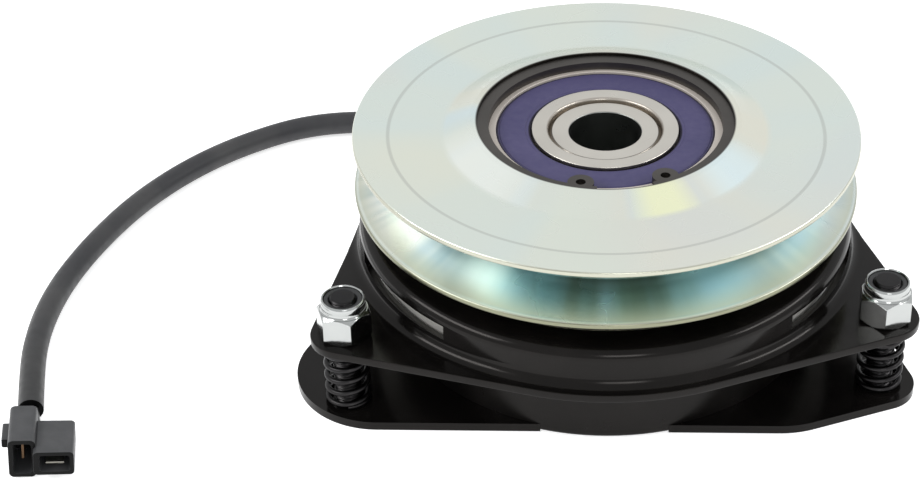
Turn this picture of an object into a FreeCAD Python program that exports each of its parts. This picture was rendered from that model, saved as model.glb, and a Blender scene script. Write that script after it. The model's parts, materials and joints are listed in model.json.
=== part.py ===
import FreeCAD, Part
import Sketcher
import math
import os
from FreeCAD import Placement, Rotation, Vector

# Electromagnetic blade-drive clutch and brake for a vertical crankshaft.
#
# The frame: the crankshaft's axis is Z, and the origin is where that axis meets the flat engine side, on
# which the clutch stands. The pulley is at the top. -Y is the side that the two front studs are on.
#
# From the bottom up: the field plate and the field shell with its coil (still), the rotor on its hub
# (keyed to the crankshaft), the armature plate (hung from the pulley on leaf springs), the brake flange
# (held down on three studs by locknuts, over springs) and the pulley on its ball bearing.

# Every driving dimension: alias, millimetres, what it is. Heights are above the engine side.
SIZES = [
    ("bore_radius", 12.7, "crankshaft bore, 1 inch across"),
    ("keyway_width", 6.35, "width of the keyway, 1/4 inch"),
    ("keyway_reach", 15.6, "from the axis to the keyway's floor"),
    ("plate_thickness", 3.2, "field plate"),
    ("stud_circle", 107.0, "radius of the circle that the three studs stand on"),
    ("stud_across", 92.665, "x of the two front studs"),
    ("stud_along", 53.5, "how far the two front studs lie in front of the axis"),
    ("stud_radius", 4.72, "stud, 3/8 inch thread"),
    ("stud_top", 46.8, "height of the studs' ends"),
    ("slack", 0.02, "clearance between pieces that are fixed together"),
    ("corner_x", -81.0, "front left corner of the field plate, centre of its round"),
    ("corner_y", -38.0, "the same"),
    ("corner_radius", 30.3, "round of the front left corner"),
    ("front_x", 57.0, "front right corner of the field plate, centre of its round"),
    ("front_y", -45.0, "the same"),
    ("front_radius", 32.0, "round of the front right corner"),
    ("plate_ear_radius", 12.5, "ear of the field plate round the front right stud"),
    ("rear_ear_radius", 14.0, "ear of the field plate round the rear stud"),
    ("slot_x", 54.0, "centre of the anti-rotation slot's round end"),
    ("slot_y", 90.3, "the same"),
    ("slot_run_x", 20.6, "from there to the far end of the slot's cutter, straight out from the axis"),
    ("slot_run_y", 34.4, "the same"),
    ("slot_radius", 7.15, "half the slot's width, for a 9/16 inch bolt"),
    ("slot_ear_radius", 15.0, "ear of the field plate round the slot"),
    ("shell_radius", 76.5, "outside of the field shell"),
    ("shell_inside", 72.5, "inside of the field shell's outer wall"),
    ("shell_floor", 5.0, "thickness of the field shell's floor"),
    ("shell_top", 30.6, "top of both pole rings"),
    ("pole_radius", 44.0, "outside of the inner pole ring"),
    ("pole_lip", 30.0, "inside of the lip over the field bearing"),
    ("field_bearing_outer", 34.0, "field bearing, outer radius"),
    ("field_bearing_low", 8.0, "field bearing, lower face"),
    ("field_bearing_high", 23.0, "field bearing, upper face"),
    ("field_bearing_middle", 15.5, "field bearing, height of its balls"),
    ("field_pitch", 27.0, "field bearing, radius of the circle through its balls"),
    ("field_ball", 3.97, "field bearing, ball radius"),
    ("field_shoulder_in", 24.9, "field bearing, shoulder of the inner ring"),
    ("field_shoulder_out", 29.4, "field bearing, shoulder of the outer ring"),
    ("journal_radius", 20.0, "bearing seats on the hub"),
    ("pulley_bearing_outer", 45.0, "pulley bearing, outer radius"),
    ("pulley_bearing_low", 54.5, "pulley bearing, lower face"),
    ("pulley_bearing_high", 77.5, "pulley bearing, upper face"),
    ("pulley_bearing_middle", 66.0, "pulley bearing, height of its balls"),
    ("pulley_pitch", 32.5, "pulley bearing, radius of the circle through its balls"),
    ("pulley_ball", 7.54, "pulley bearing, ball radius"),
    ("pulley_shoulder_in", 25.8, "pulley bearing, shoulder of the inner ring"),
    ("pulley_shoulder_out", 38.4, "pulley bearing, shoulder of the outer ring"),
    ("race_gap", 0.3, "clearance round each ball"),
    ("seal_thickness", 1.4, "bearing seals"),
    ("seal_depth", 0.5, "how far a seal lies below the rings' faces"),
    ("seal_gap", 0.35, "between a seal and the inner ring"),
    ("edge_break", 0.8, "rounds on the bearing rings"),
    ("bobbin_wall", 1.5, "coil bobbin"),
    ("bobbin_radius", 71.5, "outside of the coil bobbin"),
    ("bobbin_top", 27.5, "top of the coil bobbin"),
    ("coil_radius", 70.3, "outside of the coil"),
    ("hub_shoulder", 26.0, "hub shoulder above the field bearing"),
    ("rotor_seat", 24.0, "hub, where the rotor disc is pressed on"),
    ("rotor_low", 31.0, "underside of the rotor disc"),
    ("rotor_high", 37.0, "friction face of the rotor disc"),
    ("rotor_radius", 83.5, "rotor disc"),
    ("hub_neck", 23.0, "hub shoulder under the pulley bearing"),
    ("hub_top", 58.0, "top of the rotor hub"),
    ("sleeve_top", 76.2, "top of the hub sleeve"),
    ("slot_ring_in", 55.0, "inner ring of flux slots in the rotor disc"),
    ("slot_ring_out", 69.0, "outer ring of flux slots"),
    ("flux_slot_width", 3.4, "width of a flux slot"),
    ("armature_low", 37.4, "underside of the armature plate"),
    ("armature_high", 41.6, "top of the armature plate"),
    ("armature_inside", 46.0, "hole in the armature plate"),
    ("armature_radius", 83.5, "armature plate"),
    ("leaf_thickness", 0.76, "leaf springs"),
    ("leaf_inner", 52.0, "radius of the rivets in the pulley"),
    ("leaf_outer", 66.0, "radius of the rivets in the armature"),
    ("leaf_across", 40.6337, "x of the first leaf spring's rivet in the armature"),
    ("leaf_along", 52.0087, "y of the same rivet"),
    ("leaf_end", 6.8, "half the width of a leaf spring"),
    ("rivet_radius", 2.4, "rivet shanks"),
    ("rivet_depth", 8.0, "how deep the pulley's rivets go"),
    ("rivet_head", 4.2, "rivet heads"),
    ("rivet_head_height", 1.6, "height of a rivet head"),
    ("rivet_hole", 2.75, "holes that rivets pass through"),
    ("rivet_clearance", 5.0, "holes in the armature plate round the pulley's rivet heads"),
    ("flange_thickness", 3.0, "brake flange sheet"),
    ("flange_low", 28.5, "underside of the brake flange's ears"),
    ("flange_front_radius", 93.0, "round front of the brake flange"),
    ("flange_side_radius", 88.6, "its sides, trimmed close to the drum"),
    ("flange_ear_radius", 12.0, "ear of the brake flange round each stud"),
    ("flange_margin", 8.0, "margin of the blank, trimmed off once the drum's foot is rounded"),
    ("stud_hole", 5.2, "holes in the brake flange's ears"),
    ("drum_radius", 88.0, "outside of the brake flange's drum"),
    ("drum_top", 45.8, "top of the drum"),
    ("drum_hole", 76.0, "hole in the drum's top"),
    ("drum_shoulder", 4.5, "outer round of the drum's top edge"),
    ("drum_inner_round", 0.8, "inner round of the drum's top edge"),
    ("drum_foot", 4.5, "fillet between the drum and the ears"),
    ("window_low", 35.0, "lower edge of the gauge windows"),
    ("window_high", 41.5, "upper edge of the gauge windows"),
    ("lining_low", 41.75, "underside of the brake lining"),
    ("lining_in", 76.5, "inside of the brake lining"),
    ("lining_out", 84.0, "outside of the brake lining"),
    ("pulley_radius", 88.9, "pulley, 7 inches across"),
    ("rim_top", 78.5, "top of the upper rim"),
    ("rim_edge", 2.1, "thickness of each rim at its edge"),
    ("rim_bottom", 55.4, "underside of the lower rim"),
    ("groove_floor", 71.0, "floor of the V-belt groove"),
    ("groove_rise", 6.16, "how far each flank leans in over the groove's depth"),
    ("rim_land", 86.9, "inner edge of the upper rim's flat top"),
    ("web_radius", 76.5, "where the web starts to rise to the rim"),
    ("web_top", 77.0, "top of the web"),
    ("cone_radius", 57.0, "foot of the cone round the bearing"),
    ("cone_foot_radius", 2.5, "fillet at the foot of that cone"),
    ("lip_radius", 47.5, "outside of the lip over the bearing"),
    ("lip_top", 81.5, "top of the lip"),
    ("boss_radius", 58.0, "boss under the pulley"),
    ("boss_low", 42.4, "underside of the boss"),
    ("boss_bore", 42.0, "hole through the boss, under the bearing"),
    ("pocket_in", 61.5, "ring-shaped recess under the pulley"),
    ("pocket_out", 67.5, "the same"),
    ("pocket_top", 71.5, "the same"),
    ("ring_groove", 46.7, "groove for the bearing's snap ring"),
    ("snap_thickness", 3.0, "snap ring"),
    ("snap_outer", 46.4, "outside of the snap ring"),
    ("snap_inner", 41.0, "radius of the snap ring's inside"),
    ("snap_shift", -1.2, "how far the snap ring's inside lies off centre"),
    ("snap_ear_circle", 40.3, "centres of the snap ring's ears"),
    ("snap_ear_radius", 4.5, "ears of the snap ring"),
    ("snap_hole_radius", 1.7, "plier holes in the ears"),
    ("spring_radius", 7.1, "brake springs, from the middle of the wire to the axis"),
    ("spring_wire", 1.0, "half the thickness of the spring wire"),
    ("spring_pitch", 4.9, "rise of the brake springs in each turn"),
    ("nut_flats", 9.8, "centre of a nut to its corners, for 17 mm across flats"),
    ("nut_hex_height", 10.6, "height of a nut's hexagon"),
    ("nut_height", 14.8, "height of a nut with its collar"),
    ("nut_collar", 7.7, "outside of the collar"),
    ("nut_mouth", 6.7, "hole in the collar"),
    ("nut_bore", 4.8, "thread of the nut, a running fit on the stud"),
    ("nut_chamfer", 1.4, "height of the chamfers on the hexagon"),
    ("insert_height", 2.6, "nylon insert"),
    ("lead_height", 12.5, "height of the lead's exit"),
    ("lead_azimuth", 112.0, "direction of the lead's exit, degrees from +X"),
    ("lead_radius", 4.5, "sleeve over the two wires"),
    ("grommet_radius", 6.5, "grommet in the shell's wall"),
    ("grommet_flange", 8.0, "outer flange of the grommet"),
    ("wire_radius", 1.3, "each wire with its insulation"),
]
SIZE = {alias: number for alias, number, meaning in SIZES}
STUD_AZIMUTHS = [-150.0, -30.0, 90.0]
NUT_TURNS = [35.0, 18.0, 5.0]
LEAF_AZIMUTHS = [0.0, 120.0, 240.0]
LEAF_SPAN = 52.0

doc = FreeCAD.newDocument("clutch")
subparts = []


def value(terms):
    """The number that a sum of aliases and numbers stands for, such as 'rim_top - rim_edge'."""
    total = 0.0
    sign = 1.0
    for word in terms.split():
        if word in "+-":
            sign = 1.0 if word == "+" else -1.0
        else:
            total += sign * (SIZE[word] if word in SIZE else float(word))
    return total


def formula(terms):
    """The same sum as an expression that reads the sheet."""
    return " ".join(f"Sizes.{word}" if word in SIZE else word for word in terms.split())


def make_sheet():
    """Writes every driving dimension into the sheet, one row each."""
    sheet = doc.addObject("Spreadsheet::Sheet", "Sizes")
    for row, (alias, number, meaning) in enumerate(SIZES, start=1):
        sheet.set(f"A{row}", meaning)
        sheet.set(f"B{row}", str(number))
        sheet.setAlias(f"B{row}", alias)
    doc.recompute()


def bind(obj, properties):
    """Binds each property, by its path, to a sum of aliases."""
    for path, terms in properties.items():
        obj.setExpression(path, formula(terms))


def keep(obj, label):
    """Names a finished sub-part."""
    obj.Label = label
    subparts.append(obj)
    return obj


def round_the_axis(obj, radius, azimuth, height="0"):
    """Places obj at a radius and an azimuth about the Z axis."""
    obj.setExpression("Placement.Base.x", f"({formula(radius)}) * cos({azimuth} deg)")
    obj.setExpression("Placement.Base.y", f"({formula(radius)}) * sin({azimuth} deg)")
    bind(obj, {"Placement.Base.z": height})


# ---- Part primitives and booleans -------------------------------------------------------------------


def cylinder(name, radius, low, high):
    """An upright cylinder between two heights."""
    made = doc.addObject("Part::Cylinder", name)
    made.setExpression("Height", f"({formula(high)}) - ({formula(low)})")
    bind(made, {"Radius": radius, "Placement.Base.z": low})
    return made


def cut(name, base, tool):
    made = doc.addObject("Part::Cut", name)
    made.Base = base
    made.Tool = tool
    return made


def common(name, base, tool):
    made = doc.addObject("Part::Common", name)
    made.Base = base
    made.Tool = tool
    return made


def fuse(name, shapes):
    made = doc.addObject("Part::MultiFuse", name)
    made.Shapes = shapes
    made.Refine = True
    return made


def tube(name, inner, outer, low, high):
    """A ring of rectangular section."""
    return cut(name, cylinder(name + "_disc", outer, low, high), cylinder(name + "_hole", inner, low, high))


def box(name, low_corner, high_corner):
    """A box between two corners, each three sums."""
    made = doc.addObject("Part::Box", name)
    sides = zip(("Length", "Width", "Height"), "xyz", low_corner, high_corner)
    for side, axis, low, high in sides:
        made.setExpression(side, f"({formula(high)}) - ({formula(low)})")
        bind(made, {f"Placement.Base.{axis}": low})
    return made


# ---- PartDesign bodies ------------------------------------------------------------------------------


def new_body(name):
    return doc.addObject("PartDesign::Body", name)


def new_sketch(body, name, plane):
    """A sketch on one of the body's own origin planes."""
    sketch = body.newObject("Sketcher::SketchObject", name)
    planes = [feature for feature in body.Origin.OriginFeatures if feature.Role == plane]
    sketch.AttachmentSupport = (planes[0], [""])
    sketch.MapMode = "FlatFace"
    return sketch


def pin_point(sketch, element, point, across, along, label):
    """Fixes one point of a sketch by two named dimensions from the origin, each bound to the sheet."""
    for kind, terms in (("DistanceX", across), ("DistanceY", along)):
        number = sketch.addConstraint(Sketcher.Constraint(kind, element, point, value(terms)))
        sketch.renameConstraint(number, f"{kind}_{label}")
        sketch.setExpression(f".Constraints.{kind}_{label}", formula(terms))


def pin_radius(sketch, element, radius, label):
    number = sketch.addConstraint(Sketcher.Constraint("Radius", element, value(radius)))
    sketch.renameConstraint(number, f"Radius_{label}")
    sketch.setExpression(f".Constraints.Radius_{label}", formula(radius))


def draw_polygon(sketch, corners):
    """A closed outline of straight lines through the corners, each corner two sums."""
    points = [Vector(value(across), value(along), 0) for across, along in corners]
    count = len(points)
    for index, point in enumerate(points):
        sketch.addGeometry(Part.LineSegment(point, points[(index + 1) % count]), False)
    for index in range(count):
        sketch.addConstraint(Sketcher.Constraint("Coincident", index, 2, (index + 1) % count, 1))
    for index, (across, along) in enumerate(corners):
        pin_point(sketch, index, 1, across, along, index)


def draw_circle(sketch, element, across, along, radius):
    centre = Vector(value(across), value(along), 0)
    sketch.addGeometry(Part.Circle(centre, Vector(0, 0, 1), value(radius)), False)
    pin_point(sketch, element, 3, across, along, element)
    pin_radius(sketch, element, radius, element)


def outward_angle(one, other):
    """The direction of the normal of the line that touches two circles, on the right of the way."""
    across = other[0] - one[0]
    along = other[1] - one[1]
    lean = math.acos((one[2] - other[2]) / math.hypot(across, along))
    return math.atan2(along, across) - lean


def draw_hull(sketch, rounds):
    """The outline of a sheet stretched round several circles, given anticlockwise as x, y and radius."""
    circles = [[value(terms) for terms in each] for each in rounds]
    count = len(circles)
    angles = [outward_angle(circles[index], circles[(index + 1) % count]) for index in range(count)]
    for index, (across, along, radius) in enumerate(circles):
        centre = Vector(across, along, 0)
        start = angles[index - 1]
        end = start + (angles[index] - start) % (2 * math.pi)
        arc = Part.ArcOfCircle(Part.Circle(centre, Vector(0, 0, 1), radius), start, end)
        sketch.addGeometry(arc, False)
        beyond = circles[(index + 1) % count]
        normal = Vector(math.cos(end), math.sin(end), 0)
        onward = Vector(beyond[0], beyond[1], 0) + normal * beyond[2]
        line = Part.LineSegment(centre + normal * radius, onward)
        sketch.addGeometry(line, False)
    for index, (across, along, radius) in enumerate(rounds):
        pin_point(sketch, 2 * index, 3, across, along, index)
        pin_radius(sketch, 2 * index, radius, index)
    for index in range(count):
        arc_after = (2 * index + 2) % (2 * count)
        sketch.addConstraint(Sketcher.Constraint("Tangent", 2 * index, 2, 2 * index + 1, 1))
        sketch.addConstraint(Sketcher.Constraint("Tangent", 2 * index + 1, 2, arc_after, 1))


def turned(name, profile):
    """A body whose profile, each corner a radius and a height, is turned round the Z axis."""
    body = new_body(name)
    sketch = new_sketch(body, name + "_profile", "XZ_Plane")
    draw_polygon(sketch, profile)
    turn = body.newObject("PartDesign::Revolution", name + "_turn")
    turn.Profile = sketch
    turn.ReferenceAxis = (sketch, ["V_Axis"])
    turn.Angle = 360
    doc.recompute()
    return body


def padded(name, rounds, low, thickness):
    """A flat sheet with a hull outline, from a height up."""
    body = new_body(name)
    sketch = new_sketch(body, name + "_outline", "XY_Plane")
    bind(sketch, {"AttachmentOffset.Base.z": low})
    draw_hull(sketch, rounds)
    pad = body.newObject("PartDesign::Pad", name + "_pad")
    pad.Profile = sketch
    bind(pad, {"Length": thickness})
    doc.recompute()
    return body


def drill(body, name, holes, repeats=1, foot=None, depth=None):
    """Round holes, each x, y and radius, repeated round the Z axis.

    They go through everything, or upward from a foot to a depth.
    """
    before = body.Shape.Volume
    sketch = new_sketch(body, name + "_circles", "XY_Plane")
    if foot:
        bind(sketch, {"AttachmentOffset.Base.z": foot})
    for element, (across, along, radius) in enumerate(holes):
        draw_circle(sketch, element, across, along, radius)
    pocket = body.newObject("PartDesign::Pocket", name)
    pocket.Profile = sketch
    if foot:
        pocket.Reversed = True
        bind(pocket, {"Length": depth})
    else:
        pocket.Type = "ThroughAll"
        pocket.Midplane = True
    doc.recompute()
    if repeats > 1:
        repeat(body, pocket, sketch, ["N_Axis"], repeats)
    if body.Shape.Volume >= before:
        raise ValueError(f"{name} cuts nothing")


def repeat(body, feature, sketch, axis, count):
    """A polar pattern of a feature."""
    pattern = body.newObject("PartDesign::PolarPattern", feature.Name + "_round")
    pattern.Originals = [feature]
    pattern.Axis = (sketch, axis)
    pattern.Angle = 360
    pattern.Occurrences = count
    body.Tip = pattern
    doc.recompute()


def sweep_cut(body, name, corners, azimuth, angle, count):
    """Cuts a profile swept through an angle about the Z axis, centred on an azimuth, count times."""
    before = body.Shape.Volume
    sketch = new_sketch(body, name + "_profile", "XZ_Plane")
    sketch.AttachmentOffset = Placement(Vector(), Rotation(Vector(0, 1, 0), azimuth))
    draw_polygon(sketch, corners)
    groove = body.newObject("PartDesign::Groove", name)
    groove.Profile = sketch
    groove.ReferenceAxis = (sketch, ["V_Axis"])
    groove.Midplane = True
    groove.Angle = angle
    doc.recompute()
    repeat(body, groove, sketch, ["V_Axis"], count)
    if body.Shape.Volume >= before:
        raise ValueError(f"{name} cuts nothing")


def rim_edges(shape, radius, height):
    """The names of the whole circular edges about the Z axis with that radius and height."""
    found = []
    for number, edge in enumerate(shape.Edges, start=1):
        curve = edge.Curve
        if not isinstance(curve, Part.Circle):
            continue
        on_axis = math.hypot(curve.Center.x, curve.Center.y) < 1e-4
        if on_axis and abs(curve.Radius - radius) < 1e-3 and abs(curve.Center.z - height) < 1e-3:
            found.append(f"Edge{number}")
    return found


def soften(body, name, rims, radius, kind="Fillet"):
    """Fillets or chamfers the rims of a body, each a radius and a height."""
    doc.recompute()
    base = body.Tip
    edges = [edge for across, high in rims for edge in rim_edges(base.Shape, value(across), value(high))]
    if len(edges) < len(rims):
        raise ValueError(f"{name}: found only {len(edges)} of {len(rims)} rims")
    feature = body.newObject(f"PartDesign::{kind}", name)
    feature.Base = (base, edges)
    bind(feature, {"Radius" if kind == "Fillet" else "Size": radius})
    doc.recompute()


# ---- Field assembly, which stands still -------------------------------------------------------------


LEFT_STUD = ("0 - stud_across", "0 - stud_along")
RIGHT_STUD = ("stud_across", "0 - stud_along")
REAR_STUD = ("0", "stud_circle")


def make_field_plate():
    outline = [
        ("corner_x", "corner_y", "corner_radius"),
        ("front_x", "front_y", "front_radius"),
        (*RIGHT_STUD, "plate_ear_radius"),
        ("slot_x + 1", "slot_y + 1.7", "slot_ear_radius"),
        (*REAR_STUD, "rear_ear_radius"),
    ]
    body = padded("field_plate", outline, "0", "plate_thickness")
    drill(body, "shell_opening", [("0", "0", "shell_radius + slack")])
    drill(body, "stud_holes", [(*REAR_STUD, "stud_radius + slack")], 3)
    sketch = new_sketch(body, "slot_outline", "XY_Plane")
    outer_end = ("slot_x + slot_run_x", "slot_y + slot_run_y", "slot_radius")
    draw_hull(sketch, [("slot_x", "slot_y", "slot_radius"), outer_end])
    pocket = body.newObject("PartDesign::Pocket", "anti_rotation_slot")
    pocket.Profile = sketch
    pocket.Type = "ThroughAll"
    pocket.Midplane = True
    doc.recompute()
    keep(body, "field_plate")


def make_field_shell():
    body = turned(
        "field_shell_cup",
        [
            ("field_bearing_outer + slack", "0"),
            ("shell_radius", "0"),
            ("shell_radius", "shell_top"),
            ("shell_inside", "shell_top"),
            ("shell_inside", "shell_floor"),
            ("pole_radius", "shell_floor"),
            ("pole_radius", "shell_top"),
            ("pole_lip", "shell_top"),
            ("pole_lip", "field_bearing_high + slack"),
            ("field_bearing_outer + slack", "field_bearing_high + slack"),
            ("field_bearing_outer + slack", "field_bearing_low"),
            ("field_bearing_outer + 1.5", "field_bearing_low"),
            ("field_bearing_outer + 1.5", "field_bearing_low - 1.7"),
            ("field_bearing_outer + slack", "field_bearing_low - 1.7"),
        ],
    )
    soften(body, "shell_edges", [("shell_radius", "shell_top")], "edge_break")
    hole = lead_cylinder("lead_hole", "grommet_radius + slack", "shell_inside - 3", "shell_radius + 3")
    keep(cut("field_shell", body, hole), "field_shell")


def radial_cylinder(name, radius, near, far, azimuth, height):
    """A cylinder that points straight out from the Z axis, between two distances from it."""
    turn = math.radians(azimuth)
    made = doc.addObject("Part::Cylinder", name)
    made.Placement.Rotation = Rotation(Vector(0, 0, 1), Vector(math.cos(turn), math.sin(turn), 0))
    made.setExpression("Height", f"({formula(far)}) - ({formula(near)})")
    bind(made, {"Radius": radius})
    round_the_axis(made, near, azimuth, height)
    return made


def lead_cylinder(name, radius, near, far):
    """A cylinder along the lead's straight exit from the shell."""
    return radial_cylinder(name, radius, near, far, SIZE["lead_azimuth"], "lead_height")


def make_coil():
    """The bobbin, the winding on it and the resin that seals them into the shell."""
    bobbin = turned(
        "coil_bobbin",
        [
            ("pole_radius + 0.5", "shell_floor + 0.3"),
            ("bobbin_radius", "shell_floor + 0.3"),
            ("bobbin_radius", "shell_floor + 0.3 + bobbin_wall"),
            ("pole_radius + 0.5 + bobbin_wall", "shell_floor + 0.3 + bobbin_wall"),
            ("pole_radius + 0.5 + bobbin_wall", "bobbin_top - bobbin_wall"),
            ("bobbin_radius", "bobbin_top - bobbin_wall"),
            ("bobbin_radius", "bobbin_top"),
            ("pole_radius + 0.5", "bobbin_top"),
        ],
    )
    keep(bobbin, "coil_bobbin")
    low = "shell_floor + 0.4 + bobbin_wall"
    high = "bobbin_top - bobbin_wall - 0.1"
    winding = turned("coil_winding", rectangle("pole_radius + 0.6 + bobbin_wall", "coil_radius", low, high))
    keep(winding, "coil_winding")
    resin = rectangle("pole_radius + slack", "shell_inside - slack", "bobbin_top + slack", "shell_top - 0.4")
    keep(turned("potting_ring", resin), "potting_ring")


def rectangle(inner, outer, low, high):
    return [(inner, low), (outer, low), (outer, high), (inner, high)]


def make_studs():
    for number, azimuth in enumerate(STUD_AZIMUTHS, start=1):
        body = turned(
            f"brake_stud_{number}",
            [
                ("0", "0"),
                ("stud_radius", "0"),
                ("stud_radius", "stud_top - 0.8"),
                ("stud_radius - 0.8", "stud_top"),
                ("0", "stud_top"),
            ],
        )
        round_the_axis(body, "stud_circle", azimuth)
        keep(body, f"brake_stud_{number}")


def make_springs():
    """Compression springs between the two plates, each one helical sweep of round wire."""
    wire = SIZE["spring_wire"]
    low = SIZE["plate_thickness"] + wire + 0.05
    height = SIZE["flange_low"] - SIZE["plate_thickness"] - 2 * wire - 0.1
    for number, azimuth in enumerate(STUD_AZIMUTHS, start=1):
        helix = Part.makeHelix(SIZE["spring_pitch"], height, SIZE["spring_radius"])
        start = Vector(SIZE["spring_radius"], 0, 0)
        rise = SIZE["spring_pitch"] / (2 * math.pi * SIZE["spring_radius"])
        section = Part.Wire(Part.makeCircle(wire, start, Vector(0, 1, rise)))
        swept = Part.Wire(helix).makePipeShell([section], True, True)
        spring = doc.addObject("Part::Feature", f"brake_spring_{number}")
        spring.Shape = swept
        place = Vector(0, 0, low)
        place.x = SIZE["stud_circle"] * math.cos(math.radians(azimuth))
        place.y = SIZE["stud_circle"] * math.sin(math.radians(azimuth))
        spring.Placement = Placement(place, Rotation(Vector(0, 0, 1), azimuth + 60))
        keep(spring, f"brake_spring_{number}")


# ---- Bearings ---------------------------------------------------------------------------------------


def make_bearing(prefix, inner, outer, low, high, pitch, ball, shoulders, count):
    """A sealed ball bearing: two rings, two seals, a cage and its balls."""
    shoulder_in, shoulder_out = shoulders
    middle = f"{prefix}_middle"
    rings = (("_inner_ring", inner, shoulder_in, inner), ("_outer_ring", shoulder_out, outer, outer))
    for part, inside, outside, seat in rings:
        ring = turned(prefix + part, rectangle(inside, outside, low, high))
        cut_race(ring, prefix + part + "_race", pitch, middle, f"{ball} + race_gap")
        soften(ring, prefix + part + "_edges", [(seat, low), (seat, high)], "edge_break")
        keep(ring, prefix + part)
    seals = (("lower", f"{low} + seal_depth"), ("upper", f"{high} - seal_depth - seal_thickness"))
    for side, bottom in seals:
        top = f"{bottom} + seal_thickness"
        profile = rectangle(f"{shoulder_in} + seal_gap", f"{shoulder_out} - slack", bottom, top)
        keep(turned(f"{prefix}_{side}_seal", profile), f"{prefix}_{side}_seal")
    balls = []
    pockets = []
    for number in range(count):
        azimuth = 360.0 * number / count
        sphere = doc.addObject("Part::Sphere", f"{prefix}_ball_{number + 1}")
        bind(sphere, {"Radius": ball})
        round_the_axis(sphere, pitch, azimuth, middle)
        balls.append(sphere)
        name = f"{prefix}_pocket_{number + 1}"
        near, far = f"{pitch} - 4", f"{pitch} + 4"
        pockets.append(radial_cylinder(name, f"{ball} + 0.2", near, far, azimuth, middle))
    group = doc.addObject("Part::Compound", prefix + "_balls")
    group.Links = balls
    keep(group, prefix + "_balls")
    bottom, top = f"{middle} - {ball} - 1.2", f"{middle} + {ball} + 1.2"
    band = tube(prefix + "_band", f"{pitch} - 1.1", f"{pitch} + 1.1", bottom, top)
    keep(cut(prefix + "_cage", band, fuse(prefix + "_pockets", pockets)), prefix + "_cage")


def cut_race(body, name, pitch, height, radius):
    """Turns the balls' round groove into a ring."""
    before = body.Shape.Volume
    sketch = new_sketch(body, name + "_section", "XZ_Plane")
    draw_circle(sketch, 0, pitch, height, radius)
    groove = body.newObject("PartDesign::Groove", name)
    groove.Profile = sketch
    groove.ReferenceAxis = (sketch, ["V_Axis"])
    groove.Angle = 360
    doc.recompute()
    if body.Shape.Volume > before - 100:
        raise ValueError(f"{name} cuts nothing")


def split_ring(name, inner, outer, low, high, gap):
    """A retaining ring with a gap on the +X side."""
    ring = tube(name + "_whole", inner, outer, low, high)
    opening = box(name + "_gap", ("0", f"0 - {gap}", f"{low} - 1"), (f"{outer} + 5", gap, f"{high} + 1"))
    keep(cut(name, ring, opening), name)


def make_snap_ring():
    """The snap ring over the pulley bearing: widest at the back, with two drilled ears at the front."""
    low = "pulley_bearing_high + 0.05"
    high = "pulley_bearing_high + 0.05 + snap_thickness"
    disc = cylinder("snap_disc", "snap_outer", low, high)
    inside = cylinder("snap_inside", "snap_inner", low, high)
    bind(inside, {"Placement.Base.y": "snap_shift"})
    ring = cut("snap_band", disc, inside)
    mouth = doc.addObject("Part::Cylinder", "snap_mouth")
    bind(mouth, {"Radius": "snap_outer + 5", "Height": "snap_thickness + 2"})
    mouth.Angle = 26
    mouth.Placement.Rotation = Rotation(Vector(0, 0, 1), -98)
    bind(mouth, {"Placement.Base.z": "pulley_bearing_high - 1"})
    ears = []
    holes = []
    for number, azimuth in enumerate((-106.0, -64.0), start=1):
        ear = cylinder(f"snap_ear_{number}", "snap_ear_radius", low, high)
        round_the_axis(ear, "snap_ear_circle", azimuth, low)
        ears.append(ear)
        hole = cylinder(f"snap_hole_{number}", "snap_hole_radius", low, high)
        round_the_axis(hole, "snap_ear_circle", azimuth, low)
        holes.append(hole)
    band = cut("snap_open_band", ring, mouth)
    blank = common("snap_blank", fuse("snap_with_ears", [band] + ears), disc)
    keep(cut("bearing_snap_ring", blank, fuse("snap_holes", holes)), "bearing_snap_ring")


# ---- Rotor, keyed to the crankshaft -----------------------------------------------------------------


def make_rotor():
    disc = turned("rotor_disc", rectangle("rotor_seat + slack", "rotor_radius", "rotor_low", "rotor_high"))
    for name, ring, lean in (("inner_slots", "slot_ring_in", 0.0), ("outer_slots", "slot_ring_out", 30.0)):
        corners = rectangle(ring, f"{ring} + flux_slot_width", "rotor_low - 1", "rotor_high + 1")
        sweep_cut(disc, name, corners, lean, 46.0, 6)
    keep(disc, "rotor_disc")
    hub = turned(
        "hub_blank",
        [
            ("bore_radius", "0"),
            ("journal_radius - slack", "0"),
            ("journal_radius - slack", "field_bearing_low - 1.9"),
            ("journal_radius - 1.2", "field_bearing_low - 1.9"),
            ("journal_radius - 1.2", "field_bearing_low"),
            ("journal_radius - slack", "field_bearing_low"),
            ("journal_radius - slack", "field_bearing_high"),
            ("hub_shoulder", "field_bearing_high"),
            ("hub_shoulder", "rotor_low"),
            ("rotor_seat", "rotor_low"),
            ("rotor_seat", "rotor_high"),
            ("hub_neck", "rotor_high"),
            ("hub_neck", "pulley_bearing_low"),
            ("journal_radius - slack", "pulley_bearing_low"),
            ("journal_radius - slack", "hub_top"),
            ("bore_radius", "hub_top"),
        ],
    )
    key = box("keyway", ("0 - 3.175", "0", "0 - 1"), ("keyway_width - 3.175", "keyway_reach", "hub_top + 1"))
    keep(cut("rotor_hub", hub, key), "rotor_hub")
    sleeve = turned("hub_sleeve", rectangle("bore_radius", "journal_radius - slack", "hub_top", "sleeve_top"))
    soften(sleeve, "sleeve_edges", [("journal_radius - slack", "sleeve_top")], "edge_break")
    keep(sleeve, "hub_sleeve")


# ---- Pulley and armature ----------------------------------------------------------------------------


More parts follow.
